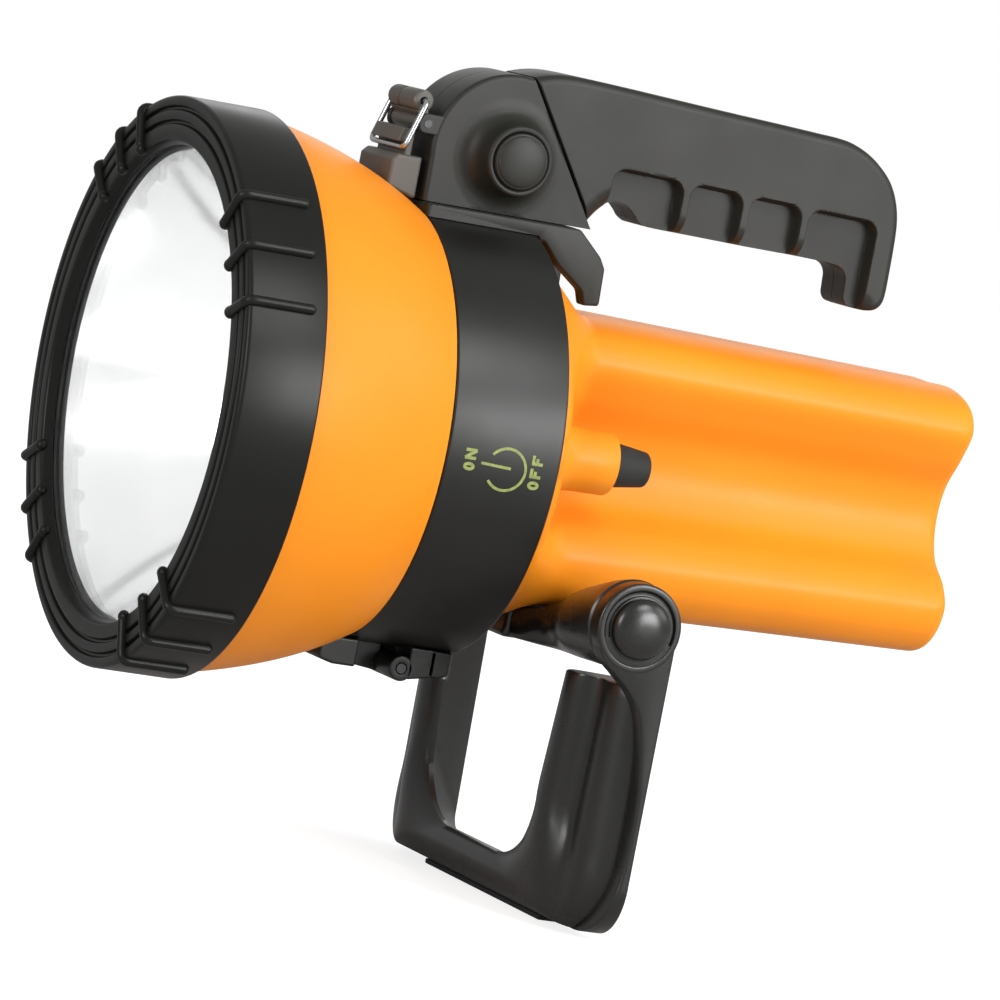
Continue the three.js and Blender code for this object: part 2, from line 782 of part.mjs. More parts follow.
// Battery body: rings of the fluted outline, blended into a round neck at the front
function bodyCurve() {
  const right = bodyOutlineShares.map(([across, up]) => new THREE.Vector3(
    across * bodyHalfWidth, up * (up > 0 ? bodyTop : bodyBottom), 0));
  const left = right.slice(1, -1).reverse().map((point) => new THREE.Vector3(-point.x, point.y, 0));
  return new THREE.CatmullRomCurve3([...right, ...left], true, 'centripetal');
}

const bodyCurvePoints = bodyCurve().getSpacedPoints(bodyOutlinePoints).slice(0, -1);

function insetPoints(points, inset) {
  return points.map((point, i) => {
    const before = points[(i + points.length - 1) % points.length];
    const after = points[(i + 1) % points.length];
    const along = after.clone().sub(before).normalize();
    return new THREE.Vector3(point.x - along.y * -inset, point.y - along.x * inset, 0);
  });
}

function bodySection(x, inset) {
  const blend = THREE.MathUtils.smoothstep(-x, -neckEndX, -bodyStartX);
  const along = THREE.MathUtils.clamp((bodyStartX - x) / (bodyStartX - bodyRearX), 0, 1);
  const scale = 1 - bodyTaperShare * along;
  const points = bodyCurvePoints.map((point) => {
    const round = point.clone().setLength(neckRadius);
    return round.lerp(point.clone().multiplyScalar(scale), blend);
  });
  const clockwise = THREE.ShapeUtils.area(points) < 0;
  const moved = insetPoints(points, clockwise ? inset : -inset);
  return moved.map((point) => new THREE.Vector3(x, point.x, point.y));
}

function rearHousing() {
  const frontX = sealRearX - seatGap;
  const neckStartX = bandRearX + seatGap;
  const blendX = [0, 0.25, 0.5, 0.75, 1].map((share) => neckEndX + (bodyStartX - neckEndX) * share);
  const outside = [
    bodySection(neckStartX + overrun, 0),
    ...blendX.map((x) => bodySection(x, 0)),
    bodySection(bodyRearX + bodyRearRounding, 0),
    bodySection(bodyRearX + bodyRearRounding * 0.3, bodyRearRounding * 0.3),
    bodySection(bodyRearX, bodyRearRounding),
  ];
  const inside = [
    bodySection(frontX + overrun, bodyWall),
    ...blendX.map((x) => bodySection(x, bodyWall)),
    bodySection(bodyRearX + bodyWall + bodyRearRounding, bodyWall),
    bodySection(bodyRearX + bodyWall, bodyWall + bodyRearRounding / 2),
  ];
  const spigot = bar([neckStartX, 0, 0], [frontX, 0, 0], spigotRadius, spigotRadius, headFacets);
  const boss = bar([neckStartX, switchY, switchZ], [switchBossEndX, switchY, switchZ], switchBossRadius);
  const bore = bar([switchBossEndX - overrun, switchY, switchZ],
    [switchBossEndX + switchBoreDepth, switchY, switchZ], switchBoreRadius);
  const stemBore = bar([switchBossEndX, switchY, switchZ], [neckStartX + overrun, switchY, switchZ],
    switchStemRadius + runGap);
  return cut(join(skinned(outside), spigot, boss), skinned(inside), bore, stemBore);
}

// Batteries: a carrier with two rows of two cells, contact springs at the rear and plates in front
const cellColumns = [upperCellZ, lowerCellZ];
const cellRearX = cellFrontX - 2 * cellLength - cellGap;
const springRearX = cellRearX - contactSpringLength;
const carrierFrontX = cellFrontX + contactPlateThickness + 2 * seatGap;

function batteryCell(frontX, z) {
  const body = frontX - cellNubHeight;
  const geometry = turned([
    [frontX - cellLength, 0],
    [frontX - cellLength, cellRadius],
    [body, cellRadius],
    [body, cellNubRadius],
    [frontX, cellNubRadius],
    [frontX, 0],
  ], pieceFacets);
  return geometry.translate(0, 0, z);
}

function carrierEnd(x0, x1) {
  const plate = outline([
    [-carrierHalfWidth, lowerCellZ - cellRadius + carrierMargin, cellRadius / 2],
    [carrierHalfWidth, lowerCellZ - cellRadius + carrierMargin, cellRadius / 2],
    [carrierHalfWidth, upperCellZ + cellRadius - carrierMargin, cellRadius / 2],
    [-carrierHalfWidth, upperCellZ + cellRadius - carrierMargin, cellRadius / 2],
  ], 3);
  return frontSlab(plate, x0, x1);
}

function batteryPack() {
  cellColumns.forEach((z, column) => {
    for (let k = 0; k < 2; k += 1) {
      const frontX = cellFrontX - k * (cellLength + cellGap);
      addPart(`battery_cell_${column * 2 + k + 1}`, batteryCell(frontX, z), cellCover);
    }
  });
  const middle = (upperCellZ + lowerCellZ) / 2;
  const rearPlateX = springRearX - contactPlateThickness - 2 * seatGap;
  addPart('battery_carrier', join(
    carrierEnd(carrierFrontX, carrierFrontX + carrierPlate),
    carrierEnd(rearPlateX - carrierPlate, rearPlateX),
    block(rearPlateX - carrierPlate / 2, carrierFrontX + carrierPlate / 2,
      -carrierSpineWidth / 2, carrierSpineWidth / 2,
      middle - carrierSpineHeight / 2, middle + carrierSpineHeight / 2)), black);
  const rowNames = ['upper', 'lower'];
  cellColumns.forEach((z, row) => addPart(`front_contact_${rowNames[row]}`,
    block(carrierFrontX - seatGap - contactPlateThickness, carrierFrontX - seatGap,
      -cellNubRadius, cellNubRadius, z - cellNubRadius, z + cellNubRadius), brass));
  const bridgeHalfWidth = carrierSpineWidth / 2 + carrierPlate;
  const spineSlot = block(rearPlateX - overrun, rearPlateX + overrun,
    -carrierSpineWidth / 2 - seatGap, carrierSpineWidth / 2 + seatGap,
    middle - carrierSpineHeight / 2 - seatGap, middle + carrierSpineHeight / 2 + seatGap);
  addPart('rear_contact_plate', cut(block(
    rearPlateX + seatGap, rearPlateX + seatGap + contactPlateThickness,
    -bridgeHalfWidth, bridgeHalfWidth,
    lowerCellZ - contactSpringRadius * 1.5, upperCellZ + contactSpringRadius * 1.5), spineSlot), brass);
  cellColumns.forEach((z, row) => addPart(`contact_spring_${rowNames[row]}`, coilSpring(
    new THREE.Vector3(cellRearX - seatGap - contactSpringWire, 0, z),
    new THREE.Vector3(-contactSpringLength + 2 * (seatGap + contactSpringWire), 0, 0),
    new THREE.Vector3(0, 1, 0), contactSpringRadius, contactSpringWire, contactSpringCurls), steel));
}

// Switch behind the collar, pushed along the beam's axis
function switchParts() {
  const knobFrontX = switchBossEndX - switchTravel + switchBoreDepth - runGap;
  const tipX = switchBossEndX - switchKnobLength;
  const knob = join(
    bar([knobFrontX, switchY, switchZ], [switchBossEndX, switchY, switchZ], switchKnobRadius),
    bar([switchBossEndX + seatGap, switchY, switchZ], [tipX, switchY, switchZ], switchKnobRadius,
      switchKnobTipRadius));
  const bodyRearFaceX = bandRearX + switchBodyMargin;
  const stemFrontX = knobFrontX + switchBoreDepth;
  const stem = bar([stemFrontX, switchY, switchZ], [knobFrontX - overrun, switchY, switchZ],
    switchStemRadius, switchStemRadius, smallFacets);
  addPart('switch_knob', join(knob, stem), rubber);
  const half = switchBodySize / 2;
  const bodyY = switchY - switchBodyShift;
  const stemBore = bar([stemFrontX - overrun, switchY, switchZ],
    [stemFrontX + switchTravel + seatGap, switchY, switchZ],
    switchStemRadius + seatGap, switchStemRadius + seatGap, smallFacets);
  addPart('switch_body', cut(block(bodyRearFaceX, bodyRearFaceX + switchBodyLength,
    bodyY - half, bodyY + half, switchZ - half, switchZ + half), stemBore), black);
}

// Shoe: the plate that carries the handle on the collar, with a hook tab down behind it on each side
function handleShoe() {
  const tipRear = shoeRearX - hookThickness * 1.5;
  const hookRootZ = hookTipZ + (neckRadius - hookTipZ) * hookRootShare;
  const side = outline([
    [shoeFrontX, bandRadius - shoeSeatDepth, 0],
    [shoeFrontX, shoeTopZ, 0],
    [shoeRearX, shoeTopZ - shoeBevel, hookThickness],
    [tipRear - hookLean, shoeTopZ - hookShoulderDrop, hookThickness],
    [tipRear, hookTipZ, 0],
    [tipRear + hookThickness, hookTipZ - shoeBevel, 0],
    [tipRear + hookThickness + hookRootWidth, hookRootZ, hookThickness],
    [bandRearX - shoeWebLength, neckRadius, hookThickness],
    [bandRearX - shoeSeatOverhang, bandRadius - shoeSeatDepth, 0],
  ], 3);
  const plate = sideSlab(side, -shoeHalfWidth, shoeHalfWidth, shoeBevel, 1);
  const saddle = bar([bandFrontX + 2 * overrun, 0, 0], [bandRearX - 1.2 * overrun, 0, 0],
    bandRadius + seatGap, bandRadius + seatGap, headFacets);
  const slotHalfWidth = shoeHalfWidth - hookTabWidth;
  const slot = block(tipRear - overrun, bandRearX - runGap, -slotHalfWidth, slotHalfWidth,
    0, shoeTopZ - shoePlateThickness);
  return cut(plate, saddle, slot);
}

// Handle
function knuckleOutline(inset) {
  const radius = knuckleRadius - inset;
  const points = [];
  const arcSteps = 12;
  for (let k = 0; k <= arcSteps; k += 1) {
    const angle = Math.PI / 2 - knuckleArcAngle * degree * k / arcSteps;
    points.push([knuckleX + radius * Math.cos(angle), knuckleZ + radius * Math.sin(angle), 0]);
  }
  const floorZ = shoeTopZ + seatGap + inset;
  points.push([knuckleX + radius - knuckleFootSetback, floorZ, 0]);
  points.push([seamBottomX - handleWidth, floorZ, 0]);
  points.push([seamBottomX - handleWidth, knuckleZ + radius, 0]);
  return outline(points);
}

function gripOutline() {
  const toeFrontX = gripRearX + gripToeLength;
  return outline([
    [seamTopX + 2 * handleEdge, seamTopZ, 0],
    [gripHumpX, gripHumpZ, gripHumpRounding],
    [gripTopRearX, gripTopRearZ, gripTopRounding],
    [gripRearX + gripRearLean, gripCornerZ, gripCornerRounding],
    [gripRearX, gripToeZ, gripToeRounding],
    [toeFrontX - gripToeTaper, gripToeZ, gripToeRounding],
    [toeFrontX, gripUndersideZ, gripInnerRounding],
    [gripArchEndX, gripUndersideZ + gripUndersideLean, gripArchRounding],
    [gripArchRearX, gripArchTopZ + gripUndersideLean, gripInnerRounding],
    [gripArchFrontX, gripArchTopZ, gripLipRounding],
    [seamBottomX + 2 * handleEdge, seamBottomZ + gripLipRise, 0],
  ], 3);
}

// A half-space on one side of the seam between knuckle and grip
function seamTool(forward) {
  const size = 12 * knuckleRadius;
  const tool = new THREE.BoxGeometry(size, size, size);
  tool.applyQuaternion(new THREE.Quaternion().setFromUnitVectors(
    new THREE.Vector3(1, 0, 0), seamNormal.clone().multiplyScalar(forward ? -1 : 1)));
  const shift = seamNormal.clone().multiplyScalar((forward ? -1 : 1) * (size / 2 + splitGap / 2));
  return tool.translate(seamX + shift.x, 0, seamZ + shift.z);
}

// A bar along the swivel axis: distances are from the seam, positive towards the grip
function seamBar(from, to, radius, facets = pieceFacets) {
  const at = (distance) => [seamX + seamNormal.x * distance, 0, seamZ + seamNormal.z * distance];
  return bar(at(from), at(to), radius, radius, facets);
}

const flangeGapStart = handleWall + seatGap;
const spoolKnuckleEnd = flangeGapStart + washerThickness + seatGap + spoolFlangeThickness;
const spoolGripEnd = flangeGapStart + spoolFlangeThickness;

function spoolSpace() {
  return join(
    seamBar(-spoolKnuckleEnd - seatGap, -handleWall, spoolFlangeRadius + seatGap),
    seamBar(-handleWall - overrun, handleWall + overrun, spoolRadius + seatGap),
    seamBar(handleWall, spoolGripEnd + seatGap, spoolFlangeRadius + seatGap));
}

function handleHalf(whole, side) {
  const far = handleWidth;
  const y0 = side > 0 ? splitGap / 2 : -far;
  const y1 = side > 0 ? far : -splitGap / 2;
  return common(whole, block(gripRearX - far, bandFrontX + far, y0, y1, 0, 2 * gripHumpZ));
}

const buttonFaceY = handleWidth / 2 + bossHeight;

// A turned shape on the knuckle's cross axis: the profile is place to that side and radius
function acrossKnuckle(side, profile) {
  return turned(profile, pieceFacets).rotateZ(side * Math.PI / 2).translate(knuckleX, 0, knuckleZ);
}

// The round end that the button and the plug show in their bosses, from a place inside
function domedEnd(side, innerY) {
  const outerY = buttonFaceY + buttonProud;
  return acrossKnuckle(side, [
    [innerY, 0],
    [innerY, buttonRadius],
    [outerY - buttonDomeHeight, buttonRadius],
    [outerY - buttonDomeHeight * 0.4, buttonRadius * 0.75],
    [outerY, 0],
  ]);
}

function knuckle() {
  const half = handleWidth / 2;
  const shell = common(sideSlab(knuckleOutline(0), -half, half, handleEdge), seamTool(true));
  const bosses = [1, -1].map((side) => acrossKnuckle(side, [
    [half - handleWall, 0],
    [half - handleWall, bossRootRadius],
    ...bossFlareShares.map(([up, inward]) => [
      half + bossHeight * up, bossRootRadius + (bossRimRadius - bossRootRadius) * inward]),
    [buttonFaceY, 0],
  ]));
  const room = sideSlab(knuckleOutline(handleWall), -half + handleWall, half - handleWall);
  const keep = seamBar(-spoolKnuckleEnd - handleWall, 0, spoolFlangeRadius + handleWall);
  const bore = bar([knuckleX, -buttonFaceY - overrun, knuckleZ], [knuckleX, buttonFaceY + overrun, knuckleZ],
    buttonRadius + runGap);
  const ears = [1, -1].map((side) => latchEar(side));
  const solid = join(cut(join(shell, ...bosses, ...ears), cut(room, keep)));
  return cut(solid, spoolSpace(), bore, latchPinBore());
}

// Ears on the front of the knuckle that hold the latch lever's pin
function latchEar(side) {
  const inner = latchBarrelLength / 2 + runGap;
  const ear = outline([
    [knuckleX + knuckleRadius - latchEarRoot, latchLeverZ - latchEarRadius, 0],
    [latchLeverX + latchEarRadius, latchLeverZ - latchEarRadius, latchEarRadius],
    [latchLeverX + latchEarRadius, latchLeverZ + latchEarRadius, latchEarRadius],
    [knuckleX + knuckleRadius - latchEarRoot, latchLeverZ + latchEarRadius, 0],
  ], 2);
  const y0 = side > 0 ? inner : -inner - latchEarWidth;
  return sideSlab(ear, y0, y0 + latchEarWidth);
}

function latchPinBore() {
  return bar([latchLeverX, -handleWidth, latchLeverZ], [latchLeverX, handleWidth, latchLeverZ],
    latchPinRadius + seatGap, latchPinRadius + seatGap, smallFacets);
}

function grip() {
  const half = handleWidth / 2;
  const shell = common(sideSlab(gripOutline(), -half, half, handleEdge), seamTool(false));
  const pockets = [];
  let frontX = pocketFrontX;
  for (let k = 0; k < pocketCount; k += 1) {
    const atEnd = k === 0 || k === pocketCount - 1;
    const rearX = frontX - (atEnd ? pocketEndLength : pocketLength);
    const topZ = pocketTopZ - k * pocketTopFall;
    const pocket = outline([
      [rearX, gripToeZ - overrun, 0],
      [frontX, gripToeZ - overrun, 0],
      [frontX, topZ, pocketCorner],
      [rearX, topZ - pocketTopFall, pocketCorner],
    ], 3);
    for (const side of [1, -1]) {
      const y0 = side > 0 ? half - pocketDepth : -half - overrun;
      pockets.push(sideSlab(pocket, y0, y0 + pocketDepth + overrun));
    }
    frontX = rearX - pocketRidge;
  }
  const roomFloorZ = pocketTopZ + handleWall;
  const room = sideSlab(outline([
    [seamX - spoolFlangeRadius * 1.6, roomFloorZ, gripRoomRounding],
    [seamX - spoolFlangeRadius * 0.6, gripHumpZ - 2 * handleWall, gripRoomRounding],
    [gripTopRearX, gripTopRearZ - handleWall, 3 * gripRoomRounding],
    [gripRearX + 3 * handleWall, roomFloorZ, 2 * gripRoomRounding],
  ], 2), -half + handleWall, half - handleWall);
  return cut(shell, ...pockets, room, spoolSpace());
}

// Screws that hold the two halves of the grip, set in from the right side
function gripScrewPlaces() {
  return [
    [frontScrewX, bandRadius + frontScrewRise],
    [rearScrewX, bandRadius + rearScrewRise],
  ];
}

function screwAcross([x, z], headY, inward, grow = 0) {
  const tip = headY + inward * screwLength;
  return join(
    bar([x, headY - inward * grow, z], [x, headY + inward * screwHeadHeight, z], screwHeadRadius + grow,
      screwHeadRadius + grow, smallFacets),
    bar([x, headY, z], [x, tip + inward * grow, z], screwShankRadius + grow, screwShankRadius + grow,
      smallFacets));
}

function handleParts() {
  const knuckleWhole = knuckle();
  addPart('knuckle_left', handleHalf(knuckleWhole, 1), black);
  addPart('knuckle_right', handleHalf(knuckleWhole, -1), black);
  const headY = -handleWidth / 2 + screwHeadHeight;
  const screwSpace = gripScrewPlaces().map((place) => join(
    screwAcross(place, headY, 1, seatGap),
    bar([place[0], -handleWidth, place[1]], [place[0], headY, place[1]], screwHeadRadius + seatGap,
      screwHeadRadius + seatGap, smallFacets)));
  const gripWhole = cut(grip(), ...screwSpace);
  addPart('grip_left', handleHalf(gripWhole, 1), black);
  addPart('grip_right', handleHalf(gripWhole, -1), black);
  gripScrewPlaces().forEach((place, k) => {
    addPart(`grip_screw_${k + 1}`, screwAcross(place, headY, 1), steel);
  });
  addPart('swivel_spool', join(
    seamBar(-spoolKnuckleEnd, -spoolKnuckleEnd + spoolFlangeThickness, spoolFlangeRadius),
    seamBar(-spoolKnuckleEnd + seatGap, spoolGripEnd - seatGap, spoolRadius),
    seamBar(flangeGapStart, spoolGripEnd, spoolFlangeRadius)), steel);
  addPart('swivel_washer', cut(
    seamBar(-flangeGapStart - washerThickness, -flangeGapStart, spoolFlangeRadius),
    seamBar(-flangeGapStart - washerThickness - overrun, 0, spoolRadius + seatGap)), brass);
  buttonParts();
}

function buttonParts() {
  const outerY = buttonFaceY + buttonProud;
  const backY = outerY - buttonLength;
  const wellY = backY - buttonStemLength;
  const body = join(domedEnd(1, backY),
    bar([knuckleX, backY + overrun, knuckleZ], [knuckleX, wellY + buttonTravel, knuckleZ], buttonStemRadius,
      buttonStemRadius, smallFacets));
  addPart('release_button', body, black);
  addPart('button_spring', coilSpring(
    new THREE.Vector3(knuckleX, backY - seatGap - buttonSpringWire, knuckleZ),
    new THREE.Vector3(0, -(backY - seatGap - 2 * buttonSpringWire - wellY), 0),
    new THREE.Vector3(1, 0, 0), buttonSpringRadius, buttonSpringWire, buttonSpringCurls), steel);
  addPart('pivot_plug', domedEnd(-1, seatGap - wellY), black);
}

// Latch: a lever on the knuckle's ears, and the wire bail that it draws over the catch
function latchLever() {
  const across = latchBarrelLength / 2;
  const lean = Math.atan2(latchBarrelX - latchLeverX, latchBarrelZ - latchLeverZ);
  const reach = Math.hypot(latchBarrelX - latchLeverX, latchBarrelZ - latchLeverZ);
  const plate = block(-latchPlateThickness / 2, latchPlateThickness / 2, -across, across, 0, reach)
    .rotateY(lean).translate(latchLeverX, 0, latchLeverZ);
  const foot = bar([latchLeverX, -across, latchLeverZ], [latchLeverX, across, latchLeverZ],
    latchPinRadius + latchFootWall, latchPinRadius + latchFootWall, smallFacets);
  const barrel = bar([latchBarrelX, -across, latchBarrelZ], [latchBarrelX, across, latchBarrelZ],
    latchBarrelRadius);
  const notch = block(latchBarrelX - 2 * latchBarrelRadius, latchBarrelX + 2 * latchBarrelRadius,
    -latchNotchStart - latchNotchWidth, -latchNotchStart,
    latchBarrelZ + latchBarrelRadius * 0.6, latchBarrelZ + 2 * latchBarrelRadius);
  const wireBore = bar([latchBarrelX, -across - overrun, latchBarrelZ],
    [latchBarrelX, across + overrun, latchBarrelZ], bailWireRadius + seatGap, bailWireRadius + seatGap,
    smallFacets);
  return cut(join(plate, foot, barrel), notch, wireBore, latchPinBore());
}

function latchBail() {
  const half = bailWidth / 2;
  const inner = half - bailEndLength;
  const way = new THREE.Vector3(bailHookX - latchBarrelX, 0, bailHookZ - latchBarrelZ);
  const reach = way.length();
  const along = way.clone().normalize();
  const at = (y, down) => new THREE.Vector3(latchBarrelX, y, latchBarrelZ).addScaledVector(along, down);
  const corners = [at(-inner, 0), at(-half, 0), at(-half, reach), at(half, reach), at(half, 0), at(inner, 0)];
  const path = new THREE.CurvePath();
  let start = corners[0];
  for (let i = 1; i + 1 < corners.length; i += 1) {
    const into = corners[i].clone().sub(corners[i - 1]).normalize();
    const out = corners[i + 1].clone().sub(corners[i]).normalize();
    const bendStart = corners[i].clone().addScaledVector(into, -bailCornerRadius);
    const bendEnd = corners[i].clone().addScaledVector(out, bailCornerRadius);
    path.add(new THREE.LineCurve3(start, bendStart));
    path.add(new THREE.QuadraticBezierCurve3(bendStart, corners[i], bendEnd));
    start = bendEnd;
  }
  path.add(new THREE.LineCurve3(start, corners[corners.length - 1]));
  return wire(path, bailWireRadius, 36);
}

// Stand
function standProfile() {
  return outline([
    [-standHalfWidth, pivotZ, 0],
    [-standHalfWidth, standBottomZ, standOuterCorner],
    [standHalfWidth, standBottomZ, standOuterCorner],
    [standHalfWidth, pivotZ, 0],
    [standInnerHalfWidth, pivotZ, 0],
    [standInnerHalfWidth, standBarTopZ, standInnerCorner],
    [-standInnerHalfWidth, standBarTopZ, standInnerCorner],
    [-standInnerHalfWidth, pivotZ, 0],
  ], 5);
}

// The bead that follows the inside of the U, forward of the plate, and fills the lower bar
function standBeadProfile() {
  const outer = standInnerHalfWidth + standBeadWidth;
  const low = standBottomZ;
  return outline([
    [-outer, standArmTopZ, 0],
    [-outer, low, standOuterCorner],
    [outer, low, standOuterCorner],
    [outer, standArmTopZ, 0],
    [standInnerHalfWidth, standArmTopZ, 0],
    [standInnerHalfWidth, standBarTopZ, standInnerCorner],
    [-standInnerHalfWidth, standBarTopZ, standInnerCorner],
    [-standInnerHalfWidth, standArmTopZ, 0],
  ], 5);
}

// The outer strip of an arm with the eye at its top, seen from the side
function standStrip() {
  const drop = standBottomZ - pivotZ;
  const rear = standRearX;
  const front = standStripShares.map(([forward, down]) => [
    rear + forward * 2 * eyeRadius, pivotZ + drop * down, standStripRounding]);
  const shape = outline([
    [rear, pivotZ, 0],
    [pivotX + eyeRadius * 0.9, pivotZ, 0],
    [pivotX + eyeRadius * 0.7, pivotZ - eyeRadius * 0.75, 0],
    ...front,
    [rear, standBottomZ, 0],
  ], 3);
  return shape;
}

function standFrame() {
  const plateFrontX = standRearX + standPlateThickness;
  const low = block(standRearX, plateFrontX, -standHalfWidth - overrun, standHalfWidth + overrun,
    standBottomZ - overrun, standArmTopZ);
  const plate = common(frontSlab(standProfile(), standRearX, plateFrontX), low);
  const bead = frontSlab(standBeadProfile(), standRearX, standBeadFrontX);
  const sides = [1, -1].flatMap((side) => {
    const y0 = side > 0 ? eyeInnerY : -eyeOuterY;
    const eye = bar([pivotX, y0, pivotZ], [pivotX, y0 + eyeThickness, pivotZ], eyeRadius, eyeRadius,
      1.6 * pieceFacets);
    return [sideSlab(standStrip(), y0, y0 + eyeThickness), eye];
  });
  const envelope = frontSlab(outline([
    [-standHalfWidth, pivotZ + 2 * eyeRadius, 0],
    [-standHalfWidth, standBottomZ, standOuterCorner],
    [standHalfWidth, standBottomZ, standOuterCorner],
    [standHalfWidth, pivotZ + 2 * eyeRadius, 0],
  ], 5), standRearX - overrun, pivotX + 2 * eyeRadius);
  const bores = [1, -1].map((side) => bar([pivotX, side * (eyeInnerY - overrun), pivotZ],
    [pivotX, side * (eyeOuterY + overrun), pivotZ], pivotBoltRadius + runGap));
  return cut(common(join(plate, bead, ...sides), envelope), ...bores);
}

// Bracket under the battery body: a saddle and two arms that swell into the pivot bosses
function bracketArm(side) {
  const rings = [];
  const steps = 5;
  const count = 20;
  const startX = (bracketFrontX + bracketRearX) / 2;
  const startZ = (bracketTopZ + bracketBottomZ) / 2;
  const halfX = (bracketFrontX - bracketRearX) / 2;
  const halfZ = (bracketTopZ - bracketBottomZ) / 2;
  const endY = eyeInnerY - runGap;
  for (let i = 0; i <= steps; i += 1) {
    const share = i / steps;
    const swell = THREE.MathUtils.smoothstep(share, 0, 1);
    const y = bracketHalfWidth - overrun + (endY - bracketHalfWidth + overrun) * share;
    const ringPoints = [];
    for (let k = 0; k < count; k += 1) {
      const angle = (k / count) * 2 * Math.PI * side;
      const square = 1 / Math.max(Math.abs(Math.cos(angle)), Math.abs(Math.sin(angle)));
      const box = [halfX * Math.cos(angle) * square, halfZ * Math.sin(angle) * square];
      const round = [bossRadius * Math.cos(angle), bossRadius * Math.sin(angle)];
      const centreX = startX + (pivotX - startX) * swell;
      const centreZ = startZ + (pivotZ - startZ) * swell;
      ringPoints.push(new THREE.Vector3(
        centreX + box[0] + (round[0] - box[0]) * swell, side * y,
        centreZ + box[1] + (round[1] - box[1]) * swell));
    }
    rings.push(ringPoints);
  }
  return skinned(rings);
}

function standBracket() {
  const saddle = block(bracketRearX, bracketFrontX, -bracketHalfWidth, bracketHalfWidth,
    bracketBottomZ, bracketTopZ);
  const bores = [1, -1].map((side) => bar(
    [pivotX, side * (eyeOuterY - pivotBoltLength - seatGap), pivotZ],
    [pivotX, side * (eyeInnerY + overrun), pivotZ], pivotBoltRadius + seatGap));
  const bodyRings = [bracketFrontX + overrun, bodyStartX, bracketRearX - overrun]
    .map((x) => bodySection(x, -seatGap));
  return cut(join(saddle, bracketArm(1), bracketArm(-1)), skinned(bodyRings), ...bores);
}

function standParts() {
  addPart('stand_frame', standFrame(), black);
  addPart('stand_bracket', standBracket(), black);
  for (const [side, name] of [[1, 'left'], [-1, 'right']]) {
    const boltEnd = eyeOuterY - pivotBoltLength;
    addPart(`pivot_bolt_${name}`, bar([pivotX, side * boltEnd, pivotZ],
      [pivotX, side * (eyeOuterY - seatGap), pivotZ], pivotBoltRadius, pivotBoltRadius, smallFacets), steel);
    const cap = turned([
      [0, 0],
      [0, pivotCapRadius],
      [pivotCapHeight * 0.45, pivotCapRadius * 0.92],
      [pivotCapHeight * 0.85, pivotCapRadius * 0.6],
      [pivotCapHeight, 0],
    ], pieceFacets).rotateZ(Math.PI / 2 * side).translate(pivotX, side * (eyeOuterY + seatGap), pivotZ);
    addPart(`bolt_cap_${name}`, cap, black);
  }
  addPart('foot_pad', block(footPadX - footPadDepth / 2, footPadX + footPadDepth / 2,
    -footPadLength / 2, footPadLength / 2, footPadBottomZ, standBottomZ - seatGap), rubber);
}

lampHead();
addPart('latch_catch', latchCatch(), black);
addPart('band', band(), black);
headHinge();
addPart('rear_housing', rearHousing(), orange);
batteryPack();
switchParts();
addPart('handle_shoe', handleShoe(), black);
handleParts();
addPart('latch_lever', latchLever(), black);
addPart('latch_pin', bar([latchLeverX, -handleWidth / 2, latchLeverZ],
  [latchLeverX, handleWidth / 2, latchLeverZ], latchPinRadius, latchPinRadius, smallFacets), steel);
addPart('latch_bail', latchBail(), steel);
standParts();

export default lamp;
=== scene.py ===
"""The looks of a handheld searchlight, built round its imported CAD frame.

Places on the lamp are in millimetres from the centre of the bezel's front plane, with X along
the beam, Y to the lamp's left and Z up. to_row() turns them into metres in the shared row frame.
"""

import json
import math

import bpy
import numpy as np
from mathutils import Matrix, Vector


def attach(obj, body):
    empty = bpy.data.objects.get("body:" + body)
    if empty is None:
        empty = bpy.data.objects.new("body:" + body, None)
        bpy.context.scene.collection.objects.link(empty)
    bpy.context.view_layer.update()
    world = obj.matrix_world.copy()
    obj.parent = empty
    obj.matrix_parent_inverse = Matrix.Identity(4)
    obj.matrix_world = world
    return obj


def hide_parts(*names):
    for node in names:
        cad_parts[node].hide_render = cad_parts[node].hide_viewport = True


bl_info = {
    "name": "Handheld searchlight",
    "version": (1, 0, 0),
    "blender": (4, 5, 0),
    "location": "View3D > Sidebar > Searchlight",
    "description": "Builds the shells, glass, handle, latch and stand of a handheld searchlight",
    "category": "Add Mesh",
}

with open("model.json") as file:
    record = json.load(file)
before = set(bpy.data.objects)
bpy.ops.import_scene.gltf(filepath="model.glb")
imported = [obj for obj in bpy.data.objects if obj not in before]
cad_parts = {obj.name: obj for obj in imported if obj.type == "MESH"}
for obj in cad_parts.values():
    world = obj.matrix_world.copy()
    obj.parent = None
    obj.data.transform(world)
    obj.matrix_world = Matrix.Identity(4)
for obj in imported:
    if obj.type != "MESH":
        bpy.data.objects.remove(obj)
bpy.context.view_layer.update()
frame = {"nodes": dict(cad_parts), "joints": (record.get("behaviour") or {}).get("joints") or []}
JOINTS = {joint["name"]: joint for joint in frame["joints"]}
LAMP_ORIGIN = np.array(JOINTS["bezel_twist"]["pos_m"])

# Placing and joining shells

# The most that one round may take of a straight side, as a share of the side
ROUND_SHARE = 0.49
# The share of an inset that a moved point has to keep from the line
KEPT_SHARE = 0.98
# How far inside its rim each flat end of a slab has another ring
END_RING = 0.25
# The square of a rod's least size at its rounded ends, as a share of the full size
LEAST_TIP = 0.0004


def to_row(points):
    """Lamp places in millimetres as row-frame places in metres."""
    return np.asarray(points, float) / 1000 + LAMP_ORIGIN


